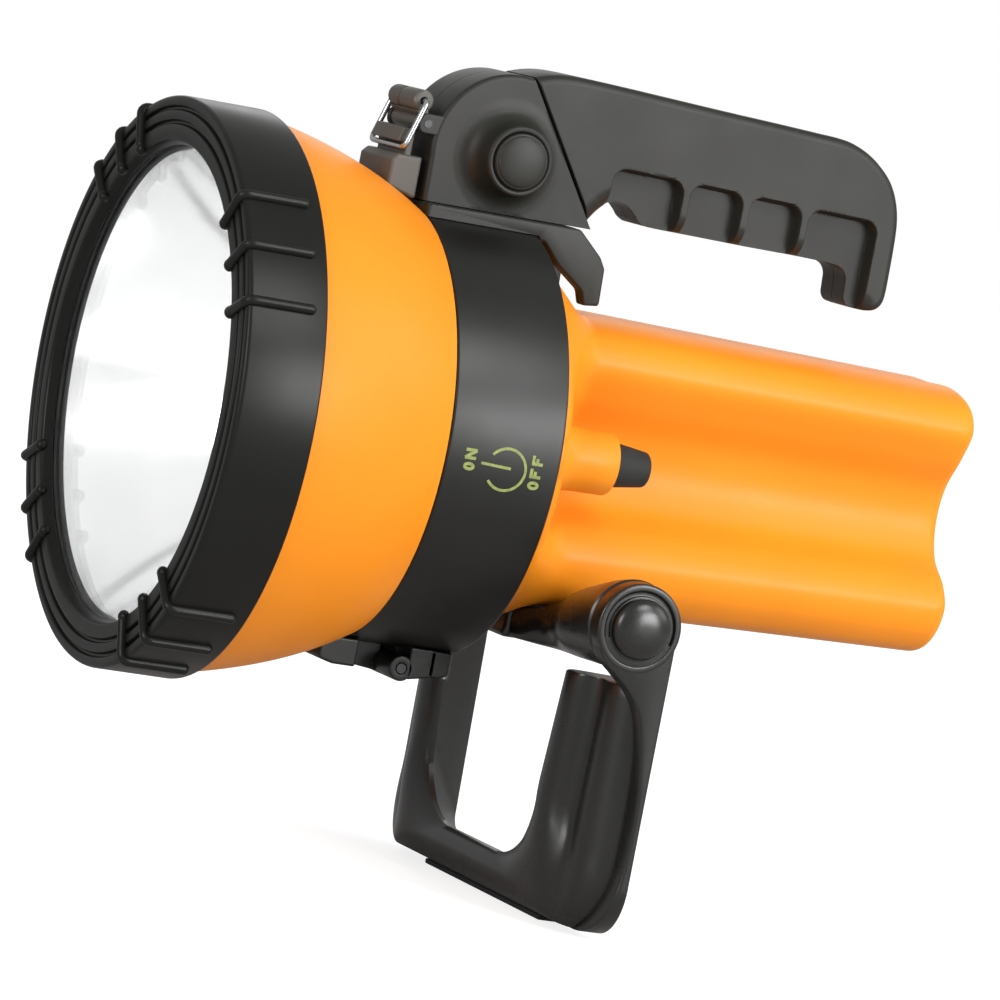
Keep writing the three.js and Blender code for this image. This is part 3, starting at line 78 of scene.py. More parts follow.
def grid_faces(rows, columns, wrap_rows=False, wrap_columns=False):
    """The quads between neighbours of a rows by columns grid of points."""
    i = np.arange(rows if wrap_rows else rows - 1)[:, None]
    j = np.arange(columns if wrap_columns else columns - 1)[None, :]
    a = i * columns + j
    b = i * columns + (j + 1) % columns
    c = ((i + 1) % rows) * columns + (j + 1) % columns
    d = ((i + 1) % rows) * columns + j
    return np.stack([a, b, c, d], -1).reshape(-1, 4).tolist()


def lofted(rings):
    """A skin over rings of points: ring k joins ring k + 1, and each end gets one flat face."""
    rings = np.asarray(rings, float)
    rows, columns = rings.shape[:2]
    faces = grid_faces(rows, columns, wrap_columns=True)
    faces.append(list(range(columns))[::-1])
    faces.append([(rows - 1) * columns + k for k in range(columns)])
    return rings.reshape(-1, 3), faces


def sheet_of(points, wrapped=False):
    """A grid of points as one skin, open or wrapped round both ways."""
    faces = grid_faces(points.shape[0], points.shape[1], wrapped, wrapped)
    return points.reshape(-1, 3), faces


def facing_out(shell):
    """Turns a closed shell's faces outwards, so that its volume, summed over fans of each face,
    is positive."""
    vertices, faces = shell
    volume = 0.0
    for size in sorted({len(face) for face in faces}):
        corners = vertices[np.array([face for face in faces if len(face) == size])]
        first = corners[:, :1]
        volume += np.einsum(
            "fkc,fkc->", np.broadcast_to(first, corners[:, 1:-1].shape),
            np.cross(corners[:, 1:-1], corners[:, 2:]))
    if volume < 0:
        faces = [face[::-1] for face in faces]
    return vertices, faces


def joined(shells):
    """Several closed shells as one list of points and faces, each facing outwards."""
    points, faces, start = [], [], 0
    for shell in shells:
        vertices, own = facing_out(shell)
        points.append(vertices)
        faces.extend([[index + start for index in face] for face in own])
        start += len(vertices)
    return np.concatenate(points), faces


def circle(count):
    """Evenly spaced angles all round, in radians."""
    return np.linspace(0, 2 * math.pi, count, endpoint=False)


def arc_steps(start, end, count):
    """Evenly spaced angles from start to end, both kept, in radians."""
    return np.radians(np.linspace(start, end, count))


def quarter_round(radius, count):
    """A quarter round of an edge, from one face to the other: at each step, the radius times one
    minus the sine of the turn, and the radius times one minus its cosine."""
    return [(radius * (1 - math.sin(a)), radius * (1 - math.cos(a)))
            for a in arc_steps(0, 90, count)]


def unit(vectors):
    """Rows of vectors, each divided by its length."""
    return vectors / np.linalg.norm(vectors, axis=1)[:, None]


def filleted(corners, steps=6, closed=True):
    """A line through corners, each rounded by its own radius: corner k is across, up, radius.
    A round starts and ends at the tangent points and follows the quadratic between them."""
    corners = [np.array(c, float) for c in corners]
    line = []
    for k, corner in enumerate(corners):
        radius = corner[2]
        end = not closed and k in (0, len(corners) - 1)
        if radius <= 0 or end:
            line.append(corner[:2])
            continue
        before = corners[k - 1][:2] - corner[:2]
        after = corners[(k + 1) % len(corners)][:2] - corner[:2]
        before_size, after_size = np.linalg.norm(before), np.linalg.norm(after)
        before, after = before / before_size, after / after_size
        half = math.acos(np.clip(before @ after, -1, 1)) / 2
        reach = min(radius / math.tan(half), before_size * ROUND_SHARE, after_size * ROUND_SHARE)
        t = np.linspace(0, 1, steps + 1)[:, None]
        start, stop = corner[:2] + before * reach, corner[:2] + after * reach
        line.extend((1 - t) ** 2 * start + 2 * t * (1 - t) * corner[:2] + t ** 2 * stop)
    return np.array(line)


def smooth_line(points, steps, closed=False):
    """A smooth line through all the points: between two of them the cubic takes its slopes from
    the points on either side."""
    points = np.asarray(points, float)
    if closed:
        padded = np.vstack([points[-1:], points, points[:2]])
    else:
        padded = np.vstack([2 * points[:1] - points[1:2], points, 2 * points[-1:] - points[-2:-1]])
    t = np.linspace(0, 1, steps, endpoint=False)[:, None]
    line = []
    for k in range(len(padded) - 3):
        a, b, c, d = padded[k:k + 4]
        line.append(0.5 * (2 * b + (c - a) * t + (2 * a - 5 * b + 4 * c - d) * t ** 2
                           + (3 * b - a - 3 * c + d) * t ** 3))
    if not closed:
        line.append(points[-1:])
    return np.vstack(line)


def lengths_along(line):
    """The length of the line from its start to each of its points."""
    return np.concatenate([[0], np.cumsum(np.linalg.norm(np.diff(line, axis=0), axis=1))])


def at_lengths(line, along, wanted):
    """The points of a line at the wanted lengths along it."""
    return np.stack([np.interp(wanted, along, line[:, k]) for k in range(line.shape[1])], -1)


def evenly(line, count, closed=False):
    """The same line with count points at equal steps along it."""
    if closed:
        line = np.vstack([line, line[:1]])
    along = lengths_along(line)
    return at_lengths(line, along, np.linspace(0, along[-1], count, endpoint=not closed))


def outline(corners, steps, count):
    """A closed outline with rounded corners, as count evenly spaced points."""
    return evenly(filleted(corners, steps), count, closed=True)


def end_spaced(path, reach):
    """A path with extra points near its ends, so that rounded ends come out round."""
    along = lengths_along(path)
    total = along[-1]
    near = reach * (1 - np.cos(np.linspace(0, math.pi / 2, 7)))
    places = np.unique(np.concatenate([near, along[(along > reach) & (along < total - reach)],
                                       total - near]))
    return at_lengths(path, along, places)


def revolved(profile, segments, centre=(0, 0, 0), axis="x", closed=True):
    """A turned shell: point (along, radius) of the profile goes round the axis, so that it lies
    at radius times cosine and sine of the angle. An open profile starts and ends on the axis."""
    profile = np.asarray(profile, float)
    angles = circle(segments)
    body = profile if closed else profile[1:-1]
    along = np.repeat(body[:, :1], segments, 1)
    points = np.stack([along, body[:, 1:] * np.cos(angles), body[:, 1:] * np.sin(angles)], -1)
    rows = len(body)
    faces = grid_faces(rows, segments, wrap_rows=closed, wrap_columns=True)
    points = points.reshape(-1, 3)
    if not closed:
        ends = np.array([[profile[0, 0], 0, 0], [profile[-1, 0], 0, 0]])
        first, last = len(points), len(points) + 1
        faces += [[first, (k + 1) % segments, k] for k in range(segments)]
        base = (rows - 1) * segments
        faces += [[last, base + k, base + (k + 1) % segments] for k in range(segments)]
        points = np.vstack([points, ends])
    if axis == "y":
        points = np.stack([points[:, 1], points[:, 0], points[:, 2]], -1)
    return points + np.asarray(centre, float), faces


def inset(line, amount):
    """A closed line moved inwards by amount, along the normal at each point. Points that end
    up nearer to the line than amount are spread between their good neighbours instead."""
    along = unit(np.roll(line, -1, 0) - np.roll(line, 1, 0))
    x, y = line[:, 0], line[:, 1]
    area = np.sum(x * np.roll(y, -1) - np.roll(x, -1) * y)
    normal = np.stack([-along[:, 1], along[:, 0]], -1) * math.copysign(1, area)
    moved = line + normal * amount
    good = distance_to(line, moved, True) > abs(amount) * KEPT_SHARE
    if amount and 2 < good.sum() < len(line):
        place = np.arange(len(line))
        moved = np.stack([np.interp(place, place[good], moved[good, k], period=len(line))
                          for k in (0, 1)], -1)
    return moved


def distance_to(line, points, closed=False):
    """The least distance from each point to a line made of straight steps."""
    starts = line if closed else line[:-1]
    ends = np.roll(line, -1, 0) if closed else line[1:]
    best = np.full(points.shape[:-1], 1e9)
    for a, b in zip(starts, ends):
        step = b - a
        t = np.clip(((points - a) @ step) / max(step @ step, 1e-9), 0, 1)
        best = np.minimum(best, np.linalg.norm(points - a - t[..., None] * step, axis=-1))
    return best


def slab(line, low, high, edge, axis="y"):
    """A plate: its closed outline carried along an axis from low to high, with quarter-round
    edges. A ring just inside each end keeps the ends flat."""
    turn = quarter_round(edge, 5)
    profile = [(low + ahead, amount) for ahead, amount in turn[::-1]]
    profile += [(high - ahead, amount) for ahead, amount in turn]
    profile = [(low, profile[0][1] + END_RING), *profile, (high, profile[-1][1] + END_RING)]
    rings = []
    for place, amount in profile:
        ring = inset(line, amount)
        level = np.full(len(ring), place)
        order = {"y": (ring[:, 0], level, ring[:, 1]), "x": (level, ring[:, 0], ring[:, 1])}[axis]
        rings.append(np.stack(order, -1))
    return lofted(rings)


def tube(path, across, height, up):
    """A rod along a path: each ring is an ellipse across it, with across and height as its half
    axes, and the ends shrink as the root of one minus the square of the place from the end."""
    ahead = unit(np.gradient(path, axis=0))
    side = unit(np.cross(ahead, np.broadcast_to(np.asarray(up, float), path.shape)))
    over = np.cross(side, ahead)
    along = lengths_along(path)
    near = np.clip(np.minimum(along, along[-1] - along) / min(across, height), 0, 1)
    size = np.sqrt(np.clip(1 - (1 - near) ** 2, LEAST_TIP, 1))
    angles = circle(14)
    return lofted(path[:, None] + size[:, None, None] * (
        side[:, None] * across * np.cos(angles)[None, :, None]
        + over[:, None] * height * np.sin(angles)[None, :, None]))


def eased(t):
    """The smooth step three squares less two cubes, held at its ends."""
    t = np.clip(t, 0, 1)
    return t * t * (3 - 2 * t)


def make_piece(name, shells, finish, body, node=None, sharp=34):
    """Puts shells into a named object that rides on its body and stands for its CAD node."""
    points, faces = joined(shells)
    mesh = bpy.data.meshes.new(name)
    mesh.from_pydata(to_row(points).tolist(), [], faces)
    mesh.validate()
    mesh.shade_smooth()
    mesh.set_sharp_from_angle(angle=math.radians(sharp))
    mesh.materials.append(finish_of(finish))
    piece = bpy.data.objects.new(name, mesh)
    bpy.context.scene.collection.objects.link(piece)
    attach(piece, body)
    if node:
        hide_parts(node)
    return piece


# Materials


def new_material(name):
    """A node material with object coordinates ready in its tree, and its shader's inputs."""
    material = bpy.data.materials.new(name)
    material.use_nodes = True
    tree = material.node_tree
    tree.nodes.new("ShaderNodeTexCoord").name = "place"
    return material, tree, tree.nodes["Principled BSDF"].inputs


def noise(tree, scale, detail, stretch=None):
    """A noise on object coordinates, scale per metre, optionally stretched along the axes."""
    texture = tree.nodes.new("ShaderNodeTexNoise")
    texture.inputs["Scale"].default_value = scale
    texture.inputs["Detail"].default_value = detail
    source = tree.nodes["place"].outputs["Object"]
    if stretch:
        mapping = tree.nodes.new("ShaderNodeMapping")
        mapping.inputs["Scale"].default_value = stretch
        tree.links.new(source, mapping.inputs["Vector"])
        source = mapping.outputs["Vector"]
    tree.links.new(source, texture.inputs["Vector"])
    return texture.outputs["Fac"]


def shaded_between(tree, factor, low, high, dark, light):
    """A colour that goes from dark to light as the factor goes from low to high."""
    ramp = tree.nodes.new("ShaderNodeValToRGB")
    ends = ramp.color_ramp.elements
    ends[0].position, ends[1].position = low, high
    ends[0].color, ends[1].color = (*dark, 1), (*light, 1)
    tree.links.new(factor, ramp.inputs["Fac"])
    return ramp.outputs["Color"]


def level_between(tree, factor, low, high, start=0.0, end=1.0):
    """A number that goes from low to high as the factor goes from start to end."""
    remap = tree.nodes.new("ShaderNodeMapRange")
    for name, value in (("From Min", start), ("From Max", end), ("To Min", low), ("To Max", high)):
        remap.inputs[name].default_value = value
    tree.links.new(factor, remap.inputs["Value"])
    return remap.outputs["Result"]


def colour_mix(tree, mask, top):
    """A node that lays the top colour over its first one where the mask is one."""
    mix = tree.nodes.new("ShaderNodeMix")
    mix.data_type = "RGBA"
    mix.inputs["B"].default_value = (*top, 1)
    tree.links.new(mask, mix.inputs["Factor"])
    return mix


def bumped(tree, shader, height, strength, distance):
    """Adds a bump from a height to the shader, over an earlier bump if there is one."""
    bump = tree.nodes.new("ShaderNodeBump")
    bump.inputs["Strength"].default_value = strength
    bump.inputs["Distance"].default_value = distance
    tree.links.new(height, bump.inputs["Height"])
    if shader["Normal"].is_linked:
        tree.links.new(shader["Normal"].links[0].from_socket, bump.inputs["Normal"])
    tree.links.new(bump.outputs["Normal"], shader["Normal"])


def plastic(name, colour, roughness, grain_scale, grain_depth, shade, wear, shine):
    """Moulded plastic: a slightly uneven colour, a fine moulded texture and worn, paler edges."""
    material, tree, shader = new_material(name)
    shader["Specular IOR Level"].default_value = shine
    dark = [c * (1 - shade) for c in colour]
    light = [min(1.0, c * (1 + shade * 0.6)) for c in colour]
    paint = shaded_between(tree, noise(tree, 22, 4), 0.3, 0.7, dark, light)
    if wear:
        edge = tree.nodes.new("ShaderNodeNewGeometry").outputs["Pointiness"]
        mask = level_between(tree, edge, 0.0, wear, 0.53, 0.62)
        mix = colour_mix(tree, mask, [min(1.0, c * 2.6 + 0.03) for c in colour])
        tree.links.new(paint, mix.inputs["A"])
        paint = mix.outputs["Result"]
    tree.links.new(paint, shader["Base Color"])
    tree.links.new(level_between(tree, noise(tree, 60, 5), roughness - 0.06, roughness + 0.07),
                   shader["Roughness"])
    bumped(tree, shader, noise(tree, grain_scale, 2), 0.35, grain_depth)
    bumped(tree, shader, noise(tree, 30, 1), 0.12, 0.0006)
    return material


def metal(name, colour, roughness, stretch=(1, 1, 1)):
    """Bare metal: fine drawn streaks in its roughness and height, and a faint tarnish."""
    material, tree, shader = new_material(name)
    shader["Metallic"].default_value = 1.0
    tarnish = noise(tree, 45, 4)
    tree.links.new(shaded_between(tree, tarnish, 0.35, 0.7, [c * 0.82 for c in colour], colour),
                   shader["Base Color"])
    streak = noise(tree, 700, 3, stretch)
    tree.links.new(level_between(tree, streak, roughness * 0.7, roughness * 1.4),
                   shader["Roughness"])
    bumped(tree, shader, streak, 0.2, 0.00002)
    return material


def rubber(name, colour):
    """Matt rubber: a close grain and a faint grey bloom."""
    material, tree, shader = new_material(name)
    bloom = noise(tree, 80, 5)
    light = [c * 1.9 + 0.006 for c in colour]
    tree.links.new(shaded_between(tree, bloom, 0.35, 0.75, colour, light), shader["Base Color"])
    tree.links.new(level_between(tree, bloom, 0.65, 0.85), shader["Roughness"])
    bumped(tree, shader, noise(tree, 1400, 2), 0.4, 0.00004)
    return material


def clear_glass(name):
    """Clear pressed glass: see-through, with a faint smear in its gloss and in its tint."""
    material, tree, shader = new_material(name)
    shader["Transmission Weight"].default_value = 1.0
    shader["IOR"].default_value = 1.45
    smear = noise(tree, 25, 3)
    tree.links.new(shaded_between(tree, smear, 0.3, 0.7, (0.985, 0.995, 0.99), (1.0, 1.0, 1.0)),
                   shader["Base Color"])
    tree.links.new(level_between(tree, smear, 0.0, 0.015), shader["Roughness"])
    return material


def silvered(name):
    """The reflector's bright silvering: a mirror with a faint dusting."""
    material, tree, shader = new_material(name)
    shader["Metallic"].default_value = 0.9
    haze = noise(tree, 35, 4)
    tree.links.new(shaded_between(tree, haze, 0.3, 0.7, (0.93, 0.935, 0.94), (0.98, 0.98, 0.98)),
                   shader["Base Color"])
    tree.links.new(level_between(tree, haze, 0.1, 0.18), shader["Roughness"])
    bumped(tree, shader, noise(tree, 900, 2), 0.05, 0.00001)
    return material


def printed(name, colour):
    """Screen-printed ink: flat, slightly rough and a little worn."""
    material, tree, shader = new_material(name)
    rub = noise(tree, 900, 4)
    tree.links.new(shaded_between(tree, rub, 0.3, 0.6, [c * 0.62 for c in colour], colour),
                   shader["Base Color"])
    tree.links.new(level_between(tree, rub, 0.45, 0.65), shader["Roughness"])
    return material


def sleeve(name):
    """A battery cell's printed sleeve: a dark field with a copper band round its positive end."""
    material, tree, shader = new_material(name)
    shader["Metallic"].default_value = 0.4
    split = tree.nodes.new("ShaderNodeSeparateXYZ")
    tree.links.new(tree.nodes["place"].outputs["Object"], split.inputs["Vector"])
    band = level_between(tree, split.outputs["X"], 0.0, 1.0, -0.035, -0.034)
    mix = colour_mix(tree, band, (0.45, 0.22, 0.1))
    mix.inputs["A"].default_value = (0.03, 0.045, 0.055, 1)
    tree.links.new(mix.outputs["Result"], shader["Base Color"])
    tree.links.new(level_between(tree, noise(tree, 120, 4), 0.25, 0.45), shader["Roughness"])
    return material


# Plastics: colour setting, roughness, grain per metre, grain depth, shade, wear, shine
PLASTICS = {
    "orange_shell": ("shell", 0.4, 1100, 0.00002, 0.05, 0.0, 0.22),
    "black_plastic": ("black", 0.36, 1300, 0.00003, 0.18, 0.2, 0.4),
    "bezel_plastic": ("black", 0.3, 1300, 0.00002, 0.15, 0.2, 0.2),
    "grip_plastic": ("grip", 0.46, 1500, 0.00005, 0.15, 0.2, 0.33),
    "stand_plastic": ("black", 0.28, 1300, 0.00002, 0.15, 0.2, 0.6),
    "latch_metal": ("latch", 0.5, 700, 0.0001, 0.35, 0.3, 0.5),
}
MATERIALS = {}


def finish_of(name):
    """The material of that name, made the first time it is asked for."""
    if name not in MATERIALS:
        colours = bpy.context.scene.searchlight_colours
        makers = {
            "dark_steel": lambda: metal("dark_steel", (0.06, 0.06, 0.06), 0.35),
            "black_rubber": lambda: rubber("black_rubber", colours.rubber),
            "clear": lambda: clear_glass("clear_lens"),
            "silver": lambda: silvered("reflector_silver"),
            "steel": lambda: metal("drawn_steel", colours.steel, 0.24, (1, 1, 6)),
            "brass": lambda: metal("contact_brass", (0.62, 0.42, 0.13), 0.3),
            "cell": lambda: sleeve("cell_sleeve"),
            "ink": lambda: printed("label_ink", colours.label),
        }
        if name in PLASTICS:
            colour, *look = PLASTICS[name]
            MATERIALS[name] = plastic(name, getattr(colours, colour), *look)
        else:
            MATERIALS[name] = makers[name]()
    return MATERIALS[name]


# User settings


def size_setting(name, description, metres):
    """A length that a user can set."""
    return bpy.props.FloatProperty(
        name=name, description=description, default=metres, unit="LENGTH")


def colour_setting(name, description, colour):
    """A colour that a user can set."""
    return bpy.props.FloatVectorProperty(
        name=name, description=description, subtype="COLOR", size=3, default=colour)


class SearchlightSizes(bpy.types.PropertyGroup):
    """Sizes that a user would change, in metres."""
    bezel_radius: size_setting(
        "Bezel radius", "Outside radius of the front ring under its ribs", 0.088)
    rib_height: size_setting(
        "Rib height", "How far the grip ribs stand above the front ring", 0.0019)
    band_radius: size_setting("Collar radius", "Outside radius of the black collar", 0.068)
    handle_width: size_setting("Handle width", "Width of the handle across the lamp", 0.027)


class SearchlightColours(bpy.types.PropertyGroup):
    """Colours of the main finishes."""
    shell: colour_setting(
        "Shell", "The orange of the lamp head and the battery body", (0.95, 0.292, 0.014))
    black: colour_setting(
        "Black parts", "The black plastic of bezel, collar and stand", (0.01, 0.01, 0.0085))
    grip: colour_setting(
        "Handle", "The black plastic of the handle and its knuckle", (0.02, 0.02, 0.0165))
    latch: colour_setting(
        "Latch metal", "The cast lever and catch of the latch", (0.085, 0.08, 0.068))
    rubber: colour_setting("Rubber", "Seals, foot pad and switch knob", (0.012, 0.012, 0.011))
    steel: colour_setting("Steel", "The latch wire, screws and springs", (0.62, 0.63, 0.64))
    label: colour_setting("Label ink", "The switch label printed on the collar", (0.3, 0.35, 0.09))


# Lamp head

BEZEL_LENGTH = 25.5
BEZEL_WALL = 3.4
GROOVE_DEPTH = 1.4
LENS_OPENING = 73.0
LENS_RADIUS = 80.0
# The seat of the lens seal in the bezel: its radius, and its front and rear along the beam
SEAT_RADIUS, SEAT_FRONT, SEAT_REAR = 80.4, -3.6, -7.4
# A rib: its half width, how far its middle stands off the ring, and the radius of its end bead
RIB_HALF_WIDTH, RIB_LIFT, BEAD_RADIUS = 1.6, 0.1, 2.1
# Middles of the groups of three ribs and the step from rib to rib, in degrees round the beam
RIB_GROUPS = (55, 145, 235, 325)
RIB_PITCH = 11.7


def round_the_beam(points, angle):
    """Points of the plane of X and Z turned about the beam, from the top towards the left side."""
    points = np.asarray(points, float)
    turn = math.radians(angle)
    x, y, z = points[..., 0], points[..., 1], points[..., 2]
    return np.stack([x, y * math.cos(turn) + z * math.sin(turn),
                     z * math.cos(turn) - y * math.sin(turn)], -1)


def bezel_rim(radius):
    """The front ring: its profile closes on itself, with two grooves in the face."""
    wall, low = radius - BEZEL_WALL, -GROOVE_DEPTH
    mid = (radius + LENS_OPENING) / 2
    return revolved(filleted([
        (-BEZEL_LENGTH, wall, 0.3), (-BEZEL_LENGTH, radius, 0.8), (0, radius, 1.7),
        (0, radius - 3.1, 0.5), (low, radius - 3.6, 0.4), (low, radius - 4.4, 0.4),
        (0, radius - 4.8, 0.5),
        (0, mid, 0.5), (low, mid - 0.4, 0.4), (low, mid - 1.2, 0.4), (0, mid - 1.6, 0.5),
        (0, LENS_OPENING + 1.4, 1.2), (SEAT_FRONT, LENS_OPENING, 0.4),
        (SEAT_FRONT, SEAT_RADIUS, 0.2), (SEAT_REAR, SEAT_RADIUS, 0.2), (SEAT_REAR, wall, 0.2),
    ], 4), 192)


def bezel_rib(angle, radius, height):
    """One grip rib: a rounded bar along the ring's wall that turns over the face and ends in a
    bead at the lens opening."""
    line = evenly(filleted([
        (-BEZEL_LENGTH + 4, radius + RIB_LIFT, 0), (RIB_LIFT, radius + RIB_LIFT, 2.2),
        (RIB_LIFT, LENS_OPENING + 1.4, 0)], 8, closed=False), 60)
    path = end_spaced(np.stack([line[:, 0], 0 * line[:, 0], line[:, 1]], -1), RIB_HALF_WIDTH)
    centre = np.array([-8.0, 0.0, radius - 10])
    bar = tube(path, RIB_HALF_WIDTH, height, unit(centre - path))
    t = np.linspace(0, math.pi, 13)
    ball, faces = revolved(np.stack([-BEAD_RADIUS * np.cos(t), BEAD_RADIUS * np.sin(t)], -1), 18,
                           closed=False, axis="y")
    bead = (ball * [0.88, 0.95, 1.0] + [RIB_LIFT, 0.0, LENS_OPENING + 1.6], faces)
    return [(round_the_beam(points, angle), faces) for points, faces in (bar, bead)]


class SEARCHLIGHT_OT_bezel(bpy.types.Operator):
    """Front ring with its grip ribs"""
    bl_idname = "searchlight.bezel"
    bl_label = "Bezel"

    def execute(self, context):
        sizes = context.scene.searchlight_sizes
        radius = sizes.bezel_radius * 1000
        shells = [bezel_rim(radius)]
        for group in RIB_GROUPS:
            for k in (-1, 0, 1):
                shells += bezel_rib(group + k * RIB_PITCH, radius, sizes.rib_height * 1000)
        make_piece("bezel", shells, "bezel_plastic", "bezel", "bezel_ring")
        return {"FINISHED"}


class SEARCHLIGHT_OT_lens(bpy.types.Operator):
    """Front glass and its gasket"""
    bl_idname = "searchlight.lens"
    bl_label = "Lens"

    def execute(self, context):
        # A ring of points just inside the rim keeps the flat faces flat where the edge turns
        ring, rear, front = LENS_RADIUS - 1, -8.4, -5.4
        profile = filleted([
            (rear, 0, 0), (rear, ring, 0), (rear, LENS_RADIUS, 0.4),
            (front, LENS_RADIUS, 0.4), (front, ring, 0), (front, 0, 0)], 4, closed=False)
        lens = make_piece("front_glass", [revolved(profile, 160, closed=False)], "clear",
                          "bezel", "lens")
        # The lights reach the reflector as if the glass were not there
        lens.visible_shadow = False
        hole, rear, front = LENS_OPENING + 0.3, -5.1, -3.9
        profile = filleted([(front, hole, 0.3), (front, LENS_RADIUS, 0.3),
                            (rear, LENS_RADIUS, 0.3), (rear, hole, 0.3)], 3)
        make_piece("lens_seal", [revolved(profile, 128)], "black_rubber", "bezel", "lens_gasket")
        return {"FINISHED"}


REFLECTOR_RIM_X = -8.7
REFLECTOR_FOCUS = 20.0
REFLECTOR_MOUTH = 72.0
REFLECTOR_WALL = 1.6
BULB_HOLE = 9.0
BULB_RADIUS, BULB_LENGTH = 5.5, 22
BASE_RADIUS, BASE_LENGTH = 7.4, 12


def bowl_place(radius):
    """Where the reflector's parabola lies along the beam at that radius."""
    vertex = REFLECTOR_RIM_X - REFLECTOR_MOUTH ** 2 / (4 * REFLECTOR_FOCUS)
    return vertex + np.asarray(radius) ** 2 / (4 * REFLECTOR_FOCUS)


def reflector_bowl():
    """The silvered bowl: a parabola turned about the beam, with a flat rim and a plain back."""
    inner = np.linspace(BULB_HOLE, REFLECTOR_MOUTH, 72)
    front = np.stack([bowl_place(inner), inner], -1)
    back = front[::-1] - [REFLECTOR_WALL, 0]
    rim = [(REFLECTOR_RIM_X, LENS_RADIUS), (REFLECTOR_RIM_X - 1.5, LENS_RADIUS)]
    return revolved(np.vstack([front, rim, back]), 192)


class SEARCHLIGHT_OT_reflector(bpy.types.Operator):
    """Silvered reflector, bulb and bulb holder"""
    bl_idname = "searchlight.reflector"
    bl_label = "Reflector and bulb"

    def execute(self, context):
        make_piece("reflector_bowl", [reflector_bowl()], "silver", "lamp", "reflector")
        base_front = float(bowl_place(BULB_HOLE)) + 2
        glass_rear = base_front + 0.3
        t = np.linspace(0, math.pi / 2, 9)
        dome = np.stack([glass_rear + BULB_LENGTH - BULB_RADIUS + BULB_RADIUS * np.sin(t),
                         BULB_RADIUS * np.cos(t)], -1)
        glass = np.vstack([[(glass_rear, 0), (glass_rear, 5.4)], dome])
        make_piece("bulb_envelope", [revolved(glass, 48, closed=False)], "clear", "lamp",
                   "bulb_glass")
        base_rear, collar = base_front - BASE_LENGTH, BASE_RADIUS + 0.2
        base = revolved(filleted([
            (base_rear, 0, 0), (base_rear, BASE_RADIUS, 0.6), (base_front - 3, BASE_RADIUS, 0.3),
            (base_front - 2.6, collar, 0.2), (base_front, collar, 0.5), (base_front, 0, 0)],
            4, closed=False), 48, closed=False)
        make_piece("bulb_cap", [base], "brass", "lamp", "bulb_base")
        return {"FINISHED"}


# The bell's profile, place along the beam and radius: its front lip, outside, and rear and inside
BELL_LIP = [(-10.5, 78.7), (-10.5, 84.2), (-25.8, 84.2)]
BELL_OUTSIDE = [(-25.9, 86.0), (-33.0, 84.6), (-42.0, 82.4), (-52.0, 79.4), (-62.0, 75.6),
                (-70.0, 71.8), (-76.6, 68.2)]
BELL_INSIDE = [(-76.7, 64.1), (-92.8, 64.1), (-92.8, 61.3), (-76.7, 61.3), (-62.0, 72.4),
               (-42.0, 79.2)]


class SEARCHLIGHT_OT_front_housing(bpy.types.Operator):
    """Orange bell of the lamp head"""
    bl_idname = "searchlight.front_housing"
    bl_label = "Front housing"

    def execute(self, context):
        profile = np.vstack([BELL_LIP, smooth_line(BELL_OUTSIDE, 8), BELL_INSIDE])
        make_piece("lamp_bell", [revolved(profile, 192)], "orange_shell", "lamp", "front_housing")
        return {"FINISHED"}


BAND_FRONT = -77.0
BAND_REAR = -114.5
BAND_BORE = 64.4
# The label: ink above and below the collar's surface, strokes of letters and of the symbol, the
# symbol's radius and its centre along the beam and in degrees from the top
INK_TOP, INK_ROOT = 0.14, -0.1
LETTER_STROKE, LETTER_HEIGHT, SYMBOL_STROKE, SYMBOL_RADIUS = 0.95, 3.6, 0.85, 6.4
SYMBOL_X, SYMBOL_ANGLE = -97, 93
# A word: its letters, foot, first angle, step in degrees and letter width
LABEL_WORDS = [("ON", -86.6, 94.6, 3.2, 2.4), ("OFF", -108.6, 97.0, 3.3, 2.5)]


def ink_stroke(points, width, radius, closed=False):
    """A printed line on the collar: points are place along the beam and angle from the top in
    degrees; the line is as wide as given and stands a hair above the surface."""
    flat = np.stack([points[:, 0], np.radians(points[:, 1]) * radius], -1)
    if closed:
        ahead = unit(np.roll(flat, -1, 0) - np.roll(flat, 1, 0))
    else:
        ahead = unit(np.gradient(flat, axis=0))
    across = np.stack([-ahead[:, 1], ahead[:, 0]], -1) * width / 2
    rings = []
    for sign, level in ((-1, INK_ROOT), (1, INK_ROOT), (1, INK_TOP), (-1, INK_TOP)):
        at = flat + sign * across
        turn = at[:, 1] / radius
        far = radius + level
        rings.append(np.stack([at[:, 0], far * np.sin(turn), far * np.cos(turn)], -1))
    rings = np.stack(rings, 1)
    return sheet_of(rings, wrapped=True) if closed else lofted(rings)


def straight(a, b, steps=6):
    """A straight line of points from a to b."""
    t = np.linspace(0, 1, steps)[:, None]
    return (1 - t) * np.array(a, float) + t * np.array(b, float)


def letter(kind, x, angle, width, radius):
    """The strokes of one letter, its foot at x and its height towards the front of the lamp.
    It is read from below upwards, so its left edge is at the larger angle."""
    step, height = math.degrees(width / radius), LETTER_HEIGHT
    low, high = angle, angle - step
    if kind == "O":
        t = circle(28)
        across = step / 2 - math.degrees(0.4 / radius)
        loop = np.stack([x + height / 2 + (height / 2 - 0.4) * np.sin(t),
                         (low + high) / 2 + across * np.cos(t)], -1)
        return [ink_stroke(loop, LETTER_STROKE, radius, closed=True)]
    strokes = [straight((x, low), (x + height, low))]
    if kind == "N":
        strokes += [straight((x + height, low), (x, high)), straight((x, high), (x + height, high))]
    if kind == "F":
        strokes += [straight((x + height - 0.4, low), (x + height - 0.4, high)),
                    straight((x + height * 0.52, low), (x + height * 0.52, (low + 2 * high) / 3))]
    return [ink_stroke(stroke, LETTER_STROKE, radius) for stroke in strokes]


